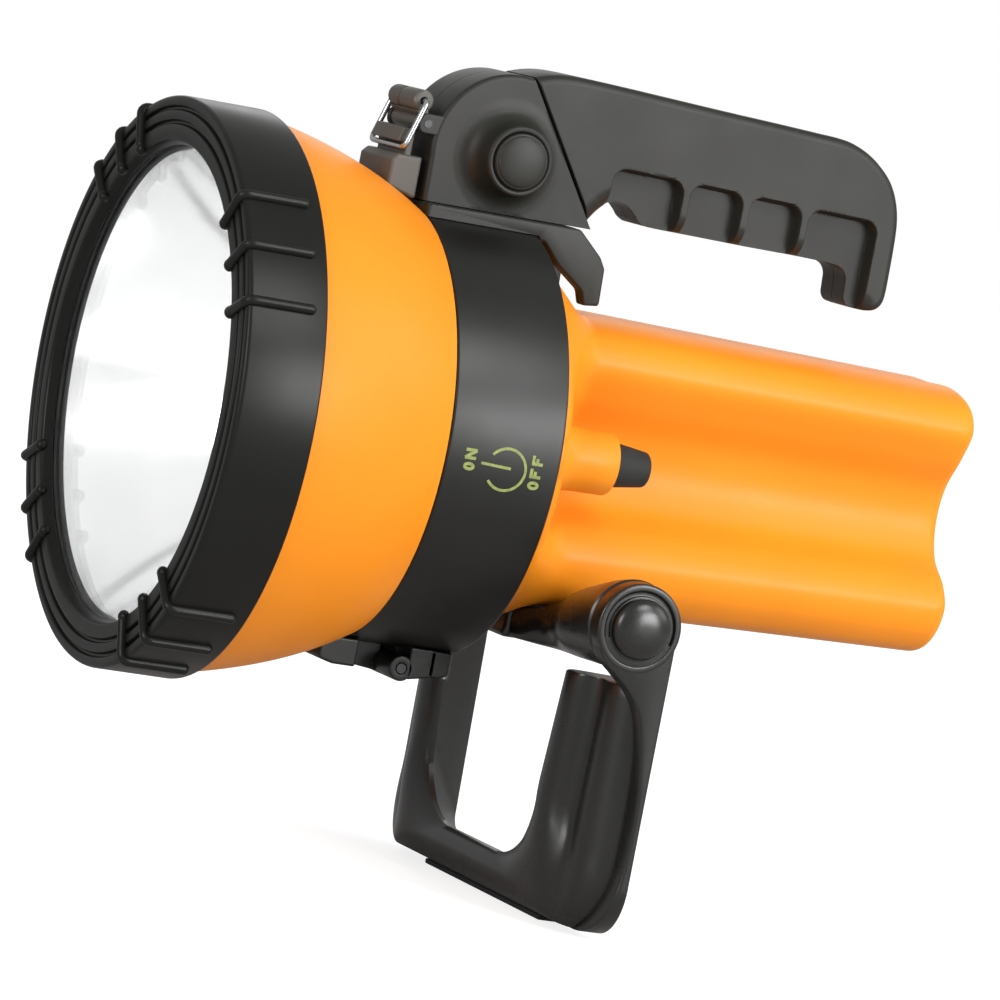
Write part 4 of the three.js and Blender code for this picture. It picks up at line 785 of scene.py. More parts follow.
def switch_label(radius):
    """ON, a plain power symbol and OFF, printed round the collar beside the switch."""
    shells = []
    for word, foot, angle, step, width in LABEL_WORDS:
        for k, kind in enumerate(word):
            shells += letter(kind, foot, angle - k * step, width, radius)
    t = arc_steps(38, 322, 60)
    ring = np.stack([SYMBOL_X + SYMBOL_RADIUS * np.cos(t),
                     SYMBOL_ANGLE + np.degrees(SYMBOL_RADIUS * np.sin(t) / radius)], -1)
    bar = straight((-98.5, 92.6), (-88.6, 92.2), 10)
    return shells + [ink_stroke(line, SYMBOL_STROKE, radius) for line in (ring, bar)]


class SEARCHLIGHT_OT_collar(bpy.types.Operator):
    """Black collar with the switch label"""
    bl_idname = "searchlight.collar"
    bl_label = "Collar"

    def execute(self, context):
        radius = context.scene.searchlight_sizes.band_radius * 1000
        profile = filleted([
            (BAND_REAR, BAND_BORE, 0.2), (BAND_REAR, radius, 0.9), (BAND_FRONT, radius, 0.9),
            (BAND_FRONT, BAND_BORE, 0.2)], 5)
        make_piece("collar", [revolved(profile, 192)], "black_plastic", "lamp", "band")
        make_piece("collar_label", switch_label(radius), "ink", "lamp")
        return {"FINISHED"}


# Battery body and switch

# The body's outline: shares of its half width, and of its height above or below the beam
BODY_SHARES = [
    (0, 1), (0.42, 1), (0.76, 0.9), (0.89, 0.7), (0.77, 0.46), (0.58, 0.2), (0.54, -0.06),
    (0.64, -0.28), (0.88, -0.44), (1, -0.62), (0.91, -0.84), (0.64, -0.98), (0, -1)]
BODY_HALF_WIDTH, BODY_TOP, BODY_BOTTOM = 40.0, 43.5, 47.5
BODY_START, BODY_REAR, BODY_TAPER = -136.0, -270.0, 0.0722
NECK_RADIUS, NECK_END = 58.0, -119.0
SWITCH_Y, SWITCH_Z = 47.0, 1.5
KNOB_ROOT, KNOB_END, KNOB_RADIUS, KNOB_TIP = -135.0, -152.1, 7.1, 5.4
# The switch boss's profile, place along the beam and radius: its flare and its rim round the knob
BOSS_ROOT, BOSS_REACH, BOSS_BORE = -112.0, 16.5, 7.8
BOSS_FLARE = [(-117.0, BOSS_REACH), (-118.2, 13.8), (-120.4, 11.6), (-123.5, 10.4), (-127.5, 9.9),
              (-132, 9.8)]
BOSS_RIM = [(-138.6, 9.8), (-139.2, 9.5), (-139.5, 8.9), (-139.5, 8.1), (-139.2, 7.75),
            (-131.0, 7.6)]


def body_outline():
    """The fluted outline of the battery body, as points of Y and Z: a smooth closed line through
    its shares of half width and height."""
    right = [(a * BODY_HALF_WIDTH, b * (BODY_TOP if b > 0 else BODY_BOTTOM))
             for a, b in BODY_SHARES]
    left = [(-y, z) for y, z in right[1:-1][::-1]]
    return evenly(smooth_line(right + left, 16, closed=True), 200, closed=True)


def body_ring(line, x, amount=0.0):
    """The body's outline at x: round at the neck, fluted behind it, blended by the smooth step
    three squares less two cubes, and a little smaller towards the rear."""
    blend = eased((x - NECK_END) / (BODY_START - NECK_END))
    along = min(max((BODY_START - x) / (BODY_START - BODY_REAR), 0.0), 1.0)
    fluted = line * (1 - BODY_TAPER * along)
    ring = inset(unit(line) * NECK_RADIUS * (1 - blend) + fluted * blend, amount)
    return np.column_stack([np.full(len(ring), x), ring])


class SEARCHLIGHT_OT_battery_body(bpy.types.Operator):
    """Orange fluted battery body with its switch boss"""
    bl_idname = "searchlight.battery_body"
    bl_label = "Battery body"

    def execute(self, context):
        line = body_outline()
        rings = [body_ring(line, -96.0, 5.0), body_ring(line, -114.0, 5.0)]
        rings += [body_ring(line, -114.2 - behind, amount)
                  for amount, behind in quarter_round(0.6, 5)]
        rings += [body_ring(line, x) for x in np.linspace(-116, -140, 22)]
        rings += [body_ring(line, x) for x in np.linspace(-143, -262, 24)]
        rings += [body_ring(line, BODY_REAR + ahead, amount)
                  for ahead, amount in quarter_round(4, 8)]
        profile = np.vstack([[(BOSS_ROOT, BOSS_BORE), (BOSS_ROOT, BOSS_REACH)],
                             smooth_line(BOSS_FLARE, 5), BOSS_RIM])
        boss = revolved(profile, 64, (0, SWITCH_Y, SWITCH_Z))
        make_piece("battery_body", [lofted(rings), boss], "orange_shell", "lamp", "rear_housing")
        return {"FINISHED"}


class SEARCHLIGHT_OT_switch(bpy.types.Operator):
    """Tapered switch knob"""
    bl_idname = "searchlight.switch"
    bl_label = "Switch knob"

    def execute(self, context):
        profile = filleted([
            (KNOB_ROOT, 0, 0), (KNOB_ROOT, KNOB_RADIUS, 0.4), (-139.8, KNOB_RADIUS, 0.2),
            (-140.2, 6.8, 0.2), (-140.6, 7.0, 0.2), (KNOB_END, KNOB_TIP, 1.2), (KNOB_END, 0, 0)],
            5, closed=False)
        knob = revolved(profile, 64, (0, SWITCH_Y, SWITCH_Z), closed=False)
        make_piece("switch_cap", [knob], "black_rubber", "switch_knob", "switch_knob")
        return {"FINISHED"}


# Handle

SEAM_TOP, SEAM_BOTTOM = np.array([-106.6, 112.6]), np.array([-134.2, 70.6])
SIDES = ((1, "left"), (-1, "right"))
KNUCKLE = np.array([-102.3, 87.0])
KNUCKLE_RADIUS = 25.8
SHOE_TOP = 69.6
BUTTON_RADIUS, BUTTON_BORE = 8.7, 8.9
# The button across the lamp: its inner end, the edge of its face and the rise of the dome
BUTTON_ROOT, BUTTON_FACE, BUTTON_DOME = 12.0, 24.35, 1.5
SEAM_GAP = 0.6
# The halves of knuckle and grip start that far off the lamp's middle plane
SPLIT = 0.15
# The knuckle's edge round, and its boss: a ring outside the flare, which keeps the cheek flat, then
# the flare and the rim round the button, as how far outside the cheek and radius
KNUCKLE_ROUND, CHEEK_RING = 1.5, 19.0
BOSS_FOOT = [(0, 18.2), (0.35, 15.6), (1.3, 13.6), (3.4, 11.9), (6.2, 11.1), (8.9, 10.85)]
BUTTON_RIM = [(9.4, 10.75), (9.8, 10.45), (10, 10.0), (9.95, 9.5), (9.7, 9.15), (9.4, BUTTON_BORE),
              (0, BUTTON_BORE)]
# The shoe rests on the collar where it is in front of this place
SHOE_REST_END, SHOE_REST_RADIUS = -115.2, 68.25
SHOE_HALF, SHOE_TAB_INSIDE = 19.0, 13.0


def seam_point(z, gap):
    """The place along the beam of the slanted seam at height z, moved off it by gap."""
    share = (z - SEAM_BOTTOM[1]) / (SEAM_TOP[1] - SEAM_BOTTOM[1])
    return SEAM_BOTTOM[0] + share * (SEAM_TOP[0] - SEAM_BOTTOM[0]) + gap


def shoe_strip(side, low, high, edge):
    """A strip of the handle's foot: a side outline carried across the lamp with rounded edges, its
    underside lifted to the collar, whose height is the root of its radius squared less the place
    across squared."""
    turn = quarter_round(edge, 5)
    steps = [(amount, low + ahead) for amount, ahead in turn]
    steps += [(0, y) for y in np.linspace(low + edge, high - edge, 12)[1:-1]]
    steps += [(amount, high - ahead) for amount, ahead in turn[::-1]]
    rings = []
    for amount, y in steps:
        ring = inset(side, amount)
        floor = math.sqrt(SHOE_REST_RADIUS ** 2 - y * y)
        on_collar = (ring[:, 0] > SHOE_REST_END) & (ring[:, 1] < floor)
        rings.append(np.column_stack([ring[:, 0], np.full(len(ring), y),
                                      np.where(on_collar, floor, ring[:, 1])]))
    return lofted(rings)


def handle_foot():
    """The plate under the handle, with a hook tab down behind it in the plane of each side."""
    front = [(-76.8, 64.2, 0.4), (-76.8, SHOE_TOP, 1.2)]
    tab = outline(front + [
        (-128.6, SHOE_TOP, 2), (-136.9, 62.2, 3), (-139.0, 58.8, 2), (-139.4, 47.2, 0.8),
        (-134.0, 46.6, 0.8), (-132.5, 51.0, 3), (-123.2, 57.6, 3), (-117.0, 64.2, 2.5),
        (-114.7, 64.2, 0)], 6, 240)
    plate = outline(front + [
        (-129.4, SHOE_TOP, 1), (-130.2, 66.2, 0.8), (-116.5, 66.0, 1.0), (-114.7, 64.2, 0)], 6, 200)
    return [shoe_strip(tab, SHOE_TAB_INSIDE, SHOE_HALF, 0.8),
            shoe_strip(tab, -SHOE_HALF, -SHOE_TAB_INSIDE, 0.8),
            shoe_strip(plate, -SHOE_TAB_INSIDE - 0.4, SHOE_TAB_INSIDE + 0.4, 0.2)]


def knuckle_line(amount=0.0):
    """The side outline of the knuckle: its round front, the flat under it and the slanted seam.
    The front and the top move in by amount; the flat and the seam stay, so they end sharp. The
    counts are fixed, so that outlines with different amounts join point to point."""
    a = arc_steps(96, -8, 150)
    radius = KNUCKLE_RADIUS - amount
    arc = np.stack([KNUCKLE[0] + radius * np.cos(a), KNUCKLE[1] + radius * np.sin(a)], -1)
    low = SHOE_TOP + 0.3
    corners = [arc[-1], (arc[-1, 0] - 0.2, low), (seam_point(low, SEAM_GAP), low),
               (seam_point(arc[0, 1], SEAM_GAP), arc[0, 1])]
    sides = [np.linspace(start, end, count + 1)[1:]
             for start, end, count in zip(corners, corners[1:], (24, 60, 60))]
    return np.vstack([arc, *sides])


def knuckle_half(side, width):
    """One half of the knuckle: its side outline carried outwards to an edge rounded along its
    front and top, then a skin that sweeps inwards and up to a boss. Ring points keep their
    angle from the boss's axis, so the outline runs into circles; a bore leads back inside."""
    half = width / 2
    steps = [(0.0, SPLIT)] + [(amount, half - behind)
                              for behind, amount in quarter_round(KNUCKLE_ROUND, 9)]
    rings = [np.stack([moved[:, 0], np.full(len(moved), y), moved[:, 1]], -1)
             for moved, y in ((knuckle_line(amount), y) for amount, y in steps)]
    # A ring a fiftieth of the way to the boss keeps the cheek flat up to its edge
    rings.append(rings[-1] + (np.array([KNUCKLE[0], half, KNUCKLE[1]]) - rings[-1]) * 0.02)
    ray = knuckle_line() - KNUCKLE
    reach = np.linalg.norm(ray, axis=1)
    ray /= reach[:, None]
    boss = np.vstack([[(0, CHEEK_RING)], smooth_line(BOSS_FOOT, 5), BUTTON_RIM]) + [half, 0]
    for y, wide in np.vstack([boss, [(SPLIT, BUTTON_BORE)]]):
        # Where the outline is nearer than the circle, the ring stays just inside the outline
        radius = np.minimum(wide, reach * (0.99 if wide == CHEEK_RING else 0.97))
        rings.append(np.column_stack([KNUCKLE[0] + ray[:, 0] * radius, np.full(len(ray), y),
                                      KNUCKLE[1] + ray[:, 1] * radius]))
    shell = sheet_of(np.array(rings) * [1, side, 1], wrapped=True)
    ear = outline([(-82, 89.9, 0), (-71.0, 89.9, 3.0), (-71.0, 96.1, 3.0), (-82, 96.1, 0)], 8, 90)
    low, high = (11.3, 13.3) if side > 0 else (-13.3, -11.3)
    return [shell, slab(ear, low, high, 0.5)]


class SEARCHLIGHT_OT_knuckle(bpy.types.Operator):
    """Handle foot, the knuckle's two halves, the release button and the plug opposite it"""
    bl_idname = "searchlight.knuckle"
    bl_label = "Knuckle"

    def execute(self, context):
        width = context.scene.searchlight_sizes.handle_width * 1000
        black = "grip_plastic"
        make_piece("handle_foot", handle_foot(), black, "lamp", "handle_shoe")
        for side, name in SIDES:
            make_piece(f"knuckle_shell_{name}", knuckle_half(side, width), black, "lamp",
                       f"knuckle_{name}", 26)
        rise = np.linspace(0, math.pi / 2, 12)
        dome = np.stack([BUTTON_FACE + BUTTON_DOME * np.sin(rise),
                         (BUTTON_RADIUS - 0.7) * np.cos(rise)], -1)
        profile = np.vstack([[(BUTTON_ROOT, 0), (BUTTON_ROOT, 8.4), (BUTTON_ROOT + 0.3, BUTTON_RADIUS),
                              (23.6, BUTTON_RADIUS), (24.0, 8.62), (24.25, 8.4)], dome])
        profile[-1, 1] = 0
        centre = (KNUCKLE[0], 0, KNUCKLE[1])
        make_piece("button_cap", [revolved(profile, 96, centre, "y", False)], black,
                   "release_button", "release_button")
        make_piece("blank_plug", [revolved(profile * [-1, 1], 96, centre, "y", False)], black,
                   "lamp", "pivot_plug")
        return {"FINISHED"}


# Finger recesses of the grip: front, rear, and the height of the front end of the top
POCKETS = [(-139.0, -162.6, 89.9), (-165.9, -183.4, 89.3), (-186.7, -204.2, 88.7),
           (-207.5, -231.1, 88.1)]
# The recesses' depth, slope of the top, round of the corners, lower end and width of the walls
POCKET_DEPTH, POCKET_SLOPE, POCKET_ROUND, POCKET_FLOOR, POCKET_WALL = 5.0, 0.026, 4.2, 50.0, 1.1
# Edge rounds of the grip along its top, its underside and the seam, and its least half width
TOP_ROUND, UNDER_ROUND, SEAM_ROUND, LEAST_HEIGHT = 2.6, 6.2, 0.4, 0.4
GRIP_SCREWS = np.array([(-145.1, 105.8), (-231.5, 97.0)])
# The wells and heads of the grip's screws
WELL_RADIUS, WELL_FLOOR = 3.6, 9.8
SCREW_FACE, SCREW_RADIUS, SCREW_THICKNESS = -11.9, 3.1, 1.6
SLOT_HALF_WIDTH, SLOT_REACH, SLOT_DEPTH = 0.38, 1.9, 1.1


def grip_edges():
    """The outer and the inner edge of the grip, from the seam to the toe, as X and Z."""
    outer = smooth_line([
        (seam_point(113.0, -SEAM_GAP), 113.0), (-112.0, 114.5), (-117.3, 115.3), (-124.3, 115.4),
        (-138.2, 114.9), (-155.9, 114.1), (-173.6, 113.3), (-191.5, 112.6), (-205.0, 112.0),
        (-213.0, 111.6), (-218.5, 110.7), (-224.4, 108.4), (-229.2, 105.2), (-233.4, 101.2),
        (-236.4, 96.2), (-238.2, 90.8), (-239.0, 84.5), (-239.3, 74.0), (-239.3, 66.0),
        (-238.6, 62.6), (-236.6, 60.5), (-233.5, 59.8), (-230.5, 59.8)], 6)
    inner = smooth_line([
        (seam_point(71.8, -SEAM_GAP), 71.8), (-137.0, 75.8), (-140.2, 78.6), (-143.7, 79.5),
        (-147.3, 78.8), (-149.9, 76.7), (-152.2, 74.4), (-156.0, 73.5), (-172.9, 73.2),
        (-190.5, 72.9), (-208.2, 72.8), (-219.5, 72.4), (-223.8, 71.6), (-225.9, 69.2),
        (-226.3, 65.5), (-226.6, 62.4), (-228.0, 60.4), (-230.5, 59.8)], 6)
    return evenly(outer, 460), evenly(inner, 460)


def rounded_box_distance(points, low, high, radius):
    """How far points lie inside a box with rounded corners, negative outside."""
    centre = (np.array(low) + np.array(high)) / 2
    half = (np.array(high) - np.array(low)) / 2 - radius
    q = np.abs(points - centre) - half
    outside = np.linalg.norm(np.maximum(q, 0), axis=-1)
    return radius - outside - np.minimum(np.max(q, axis=-1), 0)


def rounding_drop(near, radius):
    """How far a quarter-round edge has dropped at a distance from it: radius less the root of
    radius squared less what is left of the radius squared."""
    left = radius - np.clip(near, 0, radius)
    return radius - np.sqrt(radius ** 2 - left ** 2)


def grip_half(side, width):
    """One half of the grip as a height over its side view. The height is half the width less the
    drops of the rounded edges, the root of the sum of their squares, and less the finger
    recesses, whose walls follow a smooth step; the right half also has the screws' wells."""
    half = width / 2
    outer, inner = grip_edges()
    # Shares of the way from the inner to the outer edge, closer together at both ends
    v = np.linspace(0, 1, 101)
    v = (1 - np.cos(math.pi * v)) / 2 * 0.4 + v * 0.6
    points = inner[:, None] * (1 - v)[None, :, None] + outer[:, None] * v[None, :, None]
    seam = np.array([inner[0], outer[0]])
    top, under = distance_to(outer, points), distance_to(inner, points)
    drop = np.sqrt(rounding_drop(top, TOP_ROUND) ** 2 + rounding_drop(under, UNDER_ROUND) ** 2
                   + rounding_drop(distance_to(seam, points), SEAM_ROUND) ** 2)
    height = half - np.minimum(drop, half - LEAST_HEIGHT)
    for front, rear, ceiling in POCKETS:
        lean = (points[..., 0] - front) * POCKET_SLOPE
        leaned = points - np.stack([0 * lean, lean], -1)
        inside = rounded_box_distance(leaned, (rear, POCKET_FLOOR), (front, ceiling), POCKET_ROUND)
        wall = eased(inside / POCKET_WALL + 0.5)
        height = height - wall * np.maximum(height - (half - POCKET_DEPTH), 0)
    if side < 0:
        for place in GRIP_SCREWS:
            near = np.linalg.norm(points - place, axis=-1)
            height = height - eased((WELL_RADIUS - near) / 0.5) * np.maximum(height - WELL_FLOOR, 0)
    rows = np.concatenate([points[:, :1], points, points[:, -1:]], 1)
    flat = np.full((len(points), 1), SPLIT)
    levels = np.concatenate([flat, height, flat], 1)
    skin = np.stack([rows[..., 0], side * levels, rows[..., 1]], -1)
    ends = skin[[0, -1]].copy()
    ends[..., 1] = side * SPLIT
    skin = np.concatenate([ends[:1], skin, ends[1:]], 0)
    vertices, faces = sheet_of(skin)
    columns = skin.shape[1]
    first = np.arange(len(skin) - 1) * columns
    back = np.stack([first + columns - 1, first + 2 * columns - 1, first + columns, first], -1)
    return vertices, faces + back.tolist()


def screw_head(place):
    """A pan head seen from the right: a disc whose face bulges as one minus the square of the
    share of its radius, with two crossed slots sunk into it."""
    share = np.linspace(0.02, 1, 26)[:, None]
    turn = circle(96)
    across, up = share * SCREW_RADIUS * np.cos(turn), share * SCREW_RADIUS * np.sin(turn)
    bulge = 0.5 * (1 - share ** 2)
    slot = np.minimum(np.abs(across), np.abs(up)) - SLOT_HALF_WIDTH
    sunk = eased(-slot / 0.2 + 0.3) * eased((SLOT_REACH - np.hypot(across, up)) / 0.3)
    level = SCREW_FACE + 0.5 - bulge + SLOT_DEPTH * sunk
    face = np.stack([place[0] + across, level, place[1] + up], -1)
    low = face[-1:].copy()
    low[..., 1] = SCREW_FACE + SCREW_THICKNESS
    return lofted(np.concatenate([face, low]))


class SEARCHLIGHT_OT_grip(bpy.types.Operator):
    """The two halves of the grip with their finger recesses, and its screws"""
    bl_idname = "searchlight.grip"
    bl_label = "Grip"

    def execute(self, context):
        width = context.scene.searchlight_sizes.handle_width * 1000
        for side, name in SIDES:
            make_piece(f"grip_shell_{name}", [grip_half(side, width)], "grip_plastic", "grip",
                       f"grip_{name}")
        for k, place in enumerate(GRIP_SCREWS):
            make_piece(f"screw_head_{k + 1}", [screw_head(place)], "steel", "grip",
                       f"grip_screw_{k + 1}")
        return {"FINISHED"}


# Latch

LEVER_PIVOT = np.array([-74.0, 93.0])
BARREL = np.array([-72.3, 99.6])
HOOK_WIRE = np.array([-67.5, 84.7])
LEVER_HALF, BARREL_RADIUS, BARREL_BORE = 10.9, 3.4, 1.25
WIRE_HALF, WIRE_END, WIRE_RADIUS, WIRE_BEND = 13.7, 6.7, 0.88, 2.4


def latch_lever():
    """The latch lever: a rolled barrel with a groove round it, bored for the wire, over a plate
    that runs down to the pin."""
    half, radius = LEVER_HALF, BARREL_RADIUS
    barrel = revolved(filleted([
        (-half, BARREL_BORE, 0.1), (-half, radius, 1.2), (-3.5, radius, 1.2), (-3.1, 2.2, 0.2),
        (-2.1, 2.2, 0.2), (-1.7, radius, 1.2), (half, radius, 1.2), (half, BARREL_BORE, 0.1)], 5),
        40, (BARREL[0], 0, BARREL[1]), "y")
    way = (BARREL - LEVER_PIVOT) / np.linalg.norm(BARREL - LEVER_PIVOT)
    across = np.array([way[1], -way[0]])
    turn = arc_steps(30, 330, 24)
    foot = LEVER_PIVOT + 2.6 * (np.cos(turn)[:, None] * way + np.sin(turn)[:, None] * across)
    top = BARREL - way * 2.6
    side = np.vstack([foot, [top - across * 1.3, top + across * 2.9]])
    return [barrel, slab(evenly(side, 110, closed=True), -half, half, 0.35)]


def latch_catch():
    """The catch on the lamp head: a block on the bell, and a plate up behind the wire whose lip
    turns forward over it."""
    block = outline([(-74.5, 69.5, 1.0), (-64.5, 72.4, 1.0), (-64.5, 80.6, 1.2), (-66.4, 82.6, 1.2),
                     (-74.5, 82.6, 1.0)], 6, 160)
    hook = outline([(-71.3, 81.5, 0), (-71.3, 89.6, 1.0), (-70.4, 90.7, 0.8), (-67.3, 90.7, 0.5),
                    (-65.9, 86.2, 0.5), (-67.6, 86.2, 0.5), (-68.3, 86.9, 0.5), (-68.9, 85.0, 0.3),
                    (-68.9, 81.5, 0)], 5, 160)
    return [slab(block, -13.0, 13.0, 0.9), slab(hook, -11.1, 11.1, 0.5)]


def latch_wire():
    """The wire: a rod along a rounded loop from the barrel down to the catch and back."""
    half, bend = WIRE_HALF, WIRE_BEND
    way = HOOK_WIRE - BARREL
    reach = np.linalg.norm(way)
    corners = [(-WIRE_END, 0, 0), (-half, 0, bend), (-half, reach, bend), (half, reach, bend),
               (half, 0, bend), (WIRE_END, 0, 0)]
    line = evenly(filleted(corners, 8, closed=False), 160)
    along = way / reach
    path = np.stack([BARREL[0] + line[:, 1] * along[0], line[:, 0],
                     BARREL[1] + line[:, 1] * along[1]], -1)
    return tube(path, WIRE_RADIUS, WIRE_RADIUS, (-along[1], 0.0, along[0]))


class SEARCHLIGHT_OT_latch(bpy.types.Operator):
    """Latch lever, wire bail and catch"""
    bl_idname = "searchlight.latch"
    bl_label = "Latch"

    def execute(self, context):
        make_piece("latch_barrel", latch_lever(), "latch_metal", "latch_lever", "latch_lever")
        make_piece("latch_hook", latch_catch(), "latch_metal", "lamp", "latch_catch")
        make_piece("latch_wire", [latch_wire()], "steel", "latch_bail", "latch_bail")
        return {"FINISHED"}


HINGE = np.array([-97.0, -73.0])
HINGE_BORE, HINGE_RADIUS, HINGE_HALF, HINGE_ROOT = 1.9, 4.0, 19.0, -66


def hinge_leaf(end, strips):
    """A hinge leaf under the head: barrels round the pin, each with a plate to the leaf's spine.
    A plate is a side outline carried across; its top lies in the collar and the bell."""
    shells = []
    spine_end = end + (HINGE[0] - end) * 0.45
    for low, high in strips:
        shells.append(revolved(filleted([
            (low, HINGE_BORE, 0.1), (low, HINGE_RADIUS, 0.6), (high, HINGE_RADIUS, 0.6),
            (high, HINGE_BORE, 0.1)], 4), 48, (HINGE[0], 0, HINGE[1]), "y"))
        step = math.copysign(2.2, end - HINGE[0])
        side = outline([
            (HINGE[0] + step, HINGE_ROOT, 0), (spine_end + step, HINGE_ROOT, 0),
            (spine_end + step, -74.5, 0.4), (HINGE[0] + step, -76.2, 0.8)], 4, 90)
        shells.append(slab(side, low, high, 0.5))
    spine = outline([
        (end, HINGE_ROOT, 0), (end, -73.4, 1.6), (end + (spine_end - end) * 0.4, -74.6, 1.2),
        (spine_end, -74.6, 0.6), (spine_end, HINGE_ROOT, 0)], 5, 110)
    return shells + [slab(spine, -HINGE_HALF, HINGE_HALF, 0.7)]


class SEARCHLIGHT_OT_hinge(bpy.types.Operator):
    """The two leaves of the hinge under the head"""
    bl_idname = "searchlight.hinge"
    bl_label = "Hinge"

    def execute(self, context):
        for name, end, strips in (
                ("front", -69.0, [(-6.0, 6.0)]),
                ("rear", -113.0, [(-HINGE_HALF, -6.4), (6.4, HINGE_HALF)])):
            make_piece(f"hinge_leaf_{name}", hinge_leaf(end, strips), "black_plastic", "lamp",
                       f"hinge_{name}_leaf")
        return {"FINISHED"}


# Stand

PIVOT = np.array([-142.5, -43.3])
EYE_RADIUS, EYE_BORE, EYE_OUTSIDE = 13.8, 3.6, 86.0
# The cap on the eye: where it starts and its low wall ends across the lamp, its dome and radius
CAP_ROOT, CAP_WALL_TOP, CAP_RISE, CAP_RADIUS = 86.3, 87.2, 3.6, 9.3
STAND_REAR, STAND_BOTTOM, STAND_BAR_TOP, ARM_TOP = -155.5, -138.8, -124.4, -62.0
ARM_OUTSIDE, STRIP_OUTSIDE, STRIP_TOP, STRIP_ROUND = 79.5, 85.8, -47.0, 0.9
# The inner edge starts to widen behind this place, and has done so that much further back
DRAFT_FRONT, DRAFT_LENGTH = -141.0, 14.5
# Points of half a U down an arm, round its corner and along the bottom
U_STEPS = (44, 30, 30)
# The point of half a U where the arm's front starts to turn into the bar's, and over how many
# points it does so; the points down to which the outer strip runs
TURN_START, TURN_POINTS, STRIP_POINTS = 38, 36.0, 76
# The rounded tops of the arms, from the end inwards: size of a ring and how far below the top
ARM_TIP = ((0.93, 0.0), (0.975, 0.25), (0.995, 0.7))
# Front of an arm and of the lower bar: distance from the inner edge, then place along the beam
ARM_FRONT = [
    (0, -154.9), (0, -148), (0, -143.5), (0, -141.0), (0.3, -139.4), (1.1, -138.0), (2.6, -137.0),
    (5.0, -136.3), (7.8, -136.3), (10.2, -136.9), (12.0, -138.0), (13.2, -139.5), (14.2, -141.2),
    (15.2, -142.7), (16.6, -143.6), (18.6, -143.7), (22.0, -143.2), (25.5, -143.5), (28.2, -144.8),
    (30.2, -146.6), (31.6, -148.4), (32.5, -150.2), (33.0, -152.0), (33.0, -154.9)]
BAR_FRONT = [
    (0, -154.9), (0, -148), (0, -144.5), (0, -142.0), (0.3, -140.2), (1.2, -138.6), (2.6, -137.5),
    (4.2, -137.0), (5.0, -137.0), (5.8, -137.1), (6.6, -137.4), (7.4, -137.8), (8.2, -138.4),
    (9.0, -139.2), (9.7, -140.2), (10.2, -141.1), (10.6, -142.0), (11.0, -143.0), (11.3, -144.1),
    (11.5, -145.3), (11.7, -146.6), (11.8, -148.2), (11.8, -150.5), (11.8, -154.9)]
# Front edge of the outer strip, from the eye down: place along the beam, then height
STRIP_FRONT = [
    (-129.6, -47.0), (-132.2, -53.5), (-138.2, -58.6), (-143.8, -63.5), (-148.0, -70.0),
    (-150.4, -79.0), (-152.2, -90.0), (-152.9, -98.0), (-153.0, -108.0), (-152.4, -119.6),
    (-150.6, -129.0), (-147.6, -138.8)]


def half_u(arm, corner_start, centre, radii, bottom):
    """Half of a U as points of Y and Z: down an arm, round a quarter of an ellipse, along the
    bottom to the middle. The arm is given by its Y at the top and at the corner."""
    top = np.linspace(0, 1, U_STEPS[0], endpoint=False)
    start = np.stack([arm[0] + (arm[1] - arm[0]) * top,
                      ARM_TOP + (corner_start - ARM_TOP) * top], -1)
    a = np.linspace(0, math.pi / 2, U_STEPS[1], endpoint=False)
    bend = np.stack([centre[0] + radii[0] * np.cos(a), centre[1] - radii[1] * np.sin(a)], -1)
    along = np.linspace(centre[0], 0, U_STEPS[2])
    return np.vstack([start, bend, np.stack([along, np.full(U_STEPS[2], bottom)], -1)])


def whole_u(half):
    """Half a U and its mirror image, from the left arm's top to the right arm's top."""
    return np.vstack([half, half[-2::-1] * [-1, 1]])


def stand_plate():
    """The arms and the lower bar as one skin: between the U's inner and outer edge each section
    follows the arm's front, which turns into the bar's front round the corner, and closes over
    the flat rear. The inner edge widens evenly from the front to the rear, as a moulding does."""
    before = whole_u(half_u((48.9, 44.0), -100.0, (18.0, -100.0), (26.0, 24.4), STAND_BAR_TOP))
    behind = whole_u(half_u((52.5, 50.0), -123.0, (45.0, -124.0), (5.0, 5.2), STAND_BAR_TOP - 4.8))
    outer = whole_u(half_u((79.7, 79.7), -119.0, (66.0, -119.0), (13.7, 19.8), STAND_BOTTOM))
    arm, bar = np.array(ARM_FRONT), np.array(BAR_FRONT)
    count = len(before)
    place = np.minimum(np.arange(count), np.arange(count)[::-1])
    mix = eased((place - TURN_START) / TURN_POINTS)[:, None]
    share = (1 - mix) * arm[:, 0] / arm[-1, 0] + mix * bar[:, 0] / bar[-1, 0]
    front = (1 - mix) * arm[:, 1] + mix * bar[:, 1]
    rear = np.array([0.985, 0.75, 0.5, 0.25, 0.015])
    share = np.concatenate([share, np.broadcast_to(rear, (count, len(rear)))], 1)
    front = np.concatenate([front, np.full((count, len(rear)), STAND_REAR)], 1)
    back = np.clip((DRAFT_FRONT - front) / DRAFT_LENGTH, 0, 1)[..., None]
    inner = before[:, None] * (1 - back) + behind[:, None] * back
    points = inner * (1 - share)[..., None] + outer[:, None] * share[..., None]
    rings = np.concatenate([front[..., None], points], 2)
    middle = rings.mean(1, keepdims=True)
    for k, (pull, drop) in enumerate(ARM_TIP):
        for end in (k, count - 1 - k):
            rings[end] = middle[end] + (rings[end] - middle[end]) * pull
            rings[end][:, 2] = ARM_TOP - drop
    return lofted(rings)


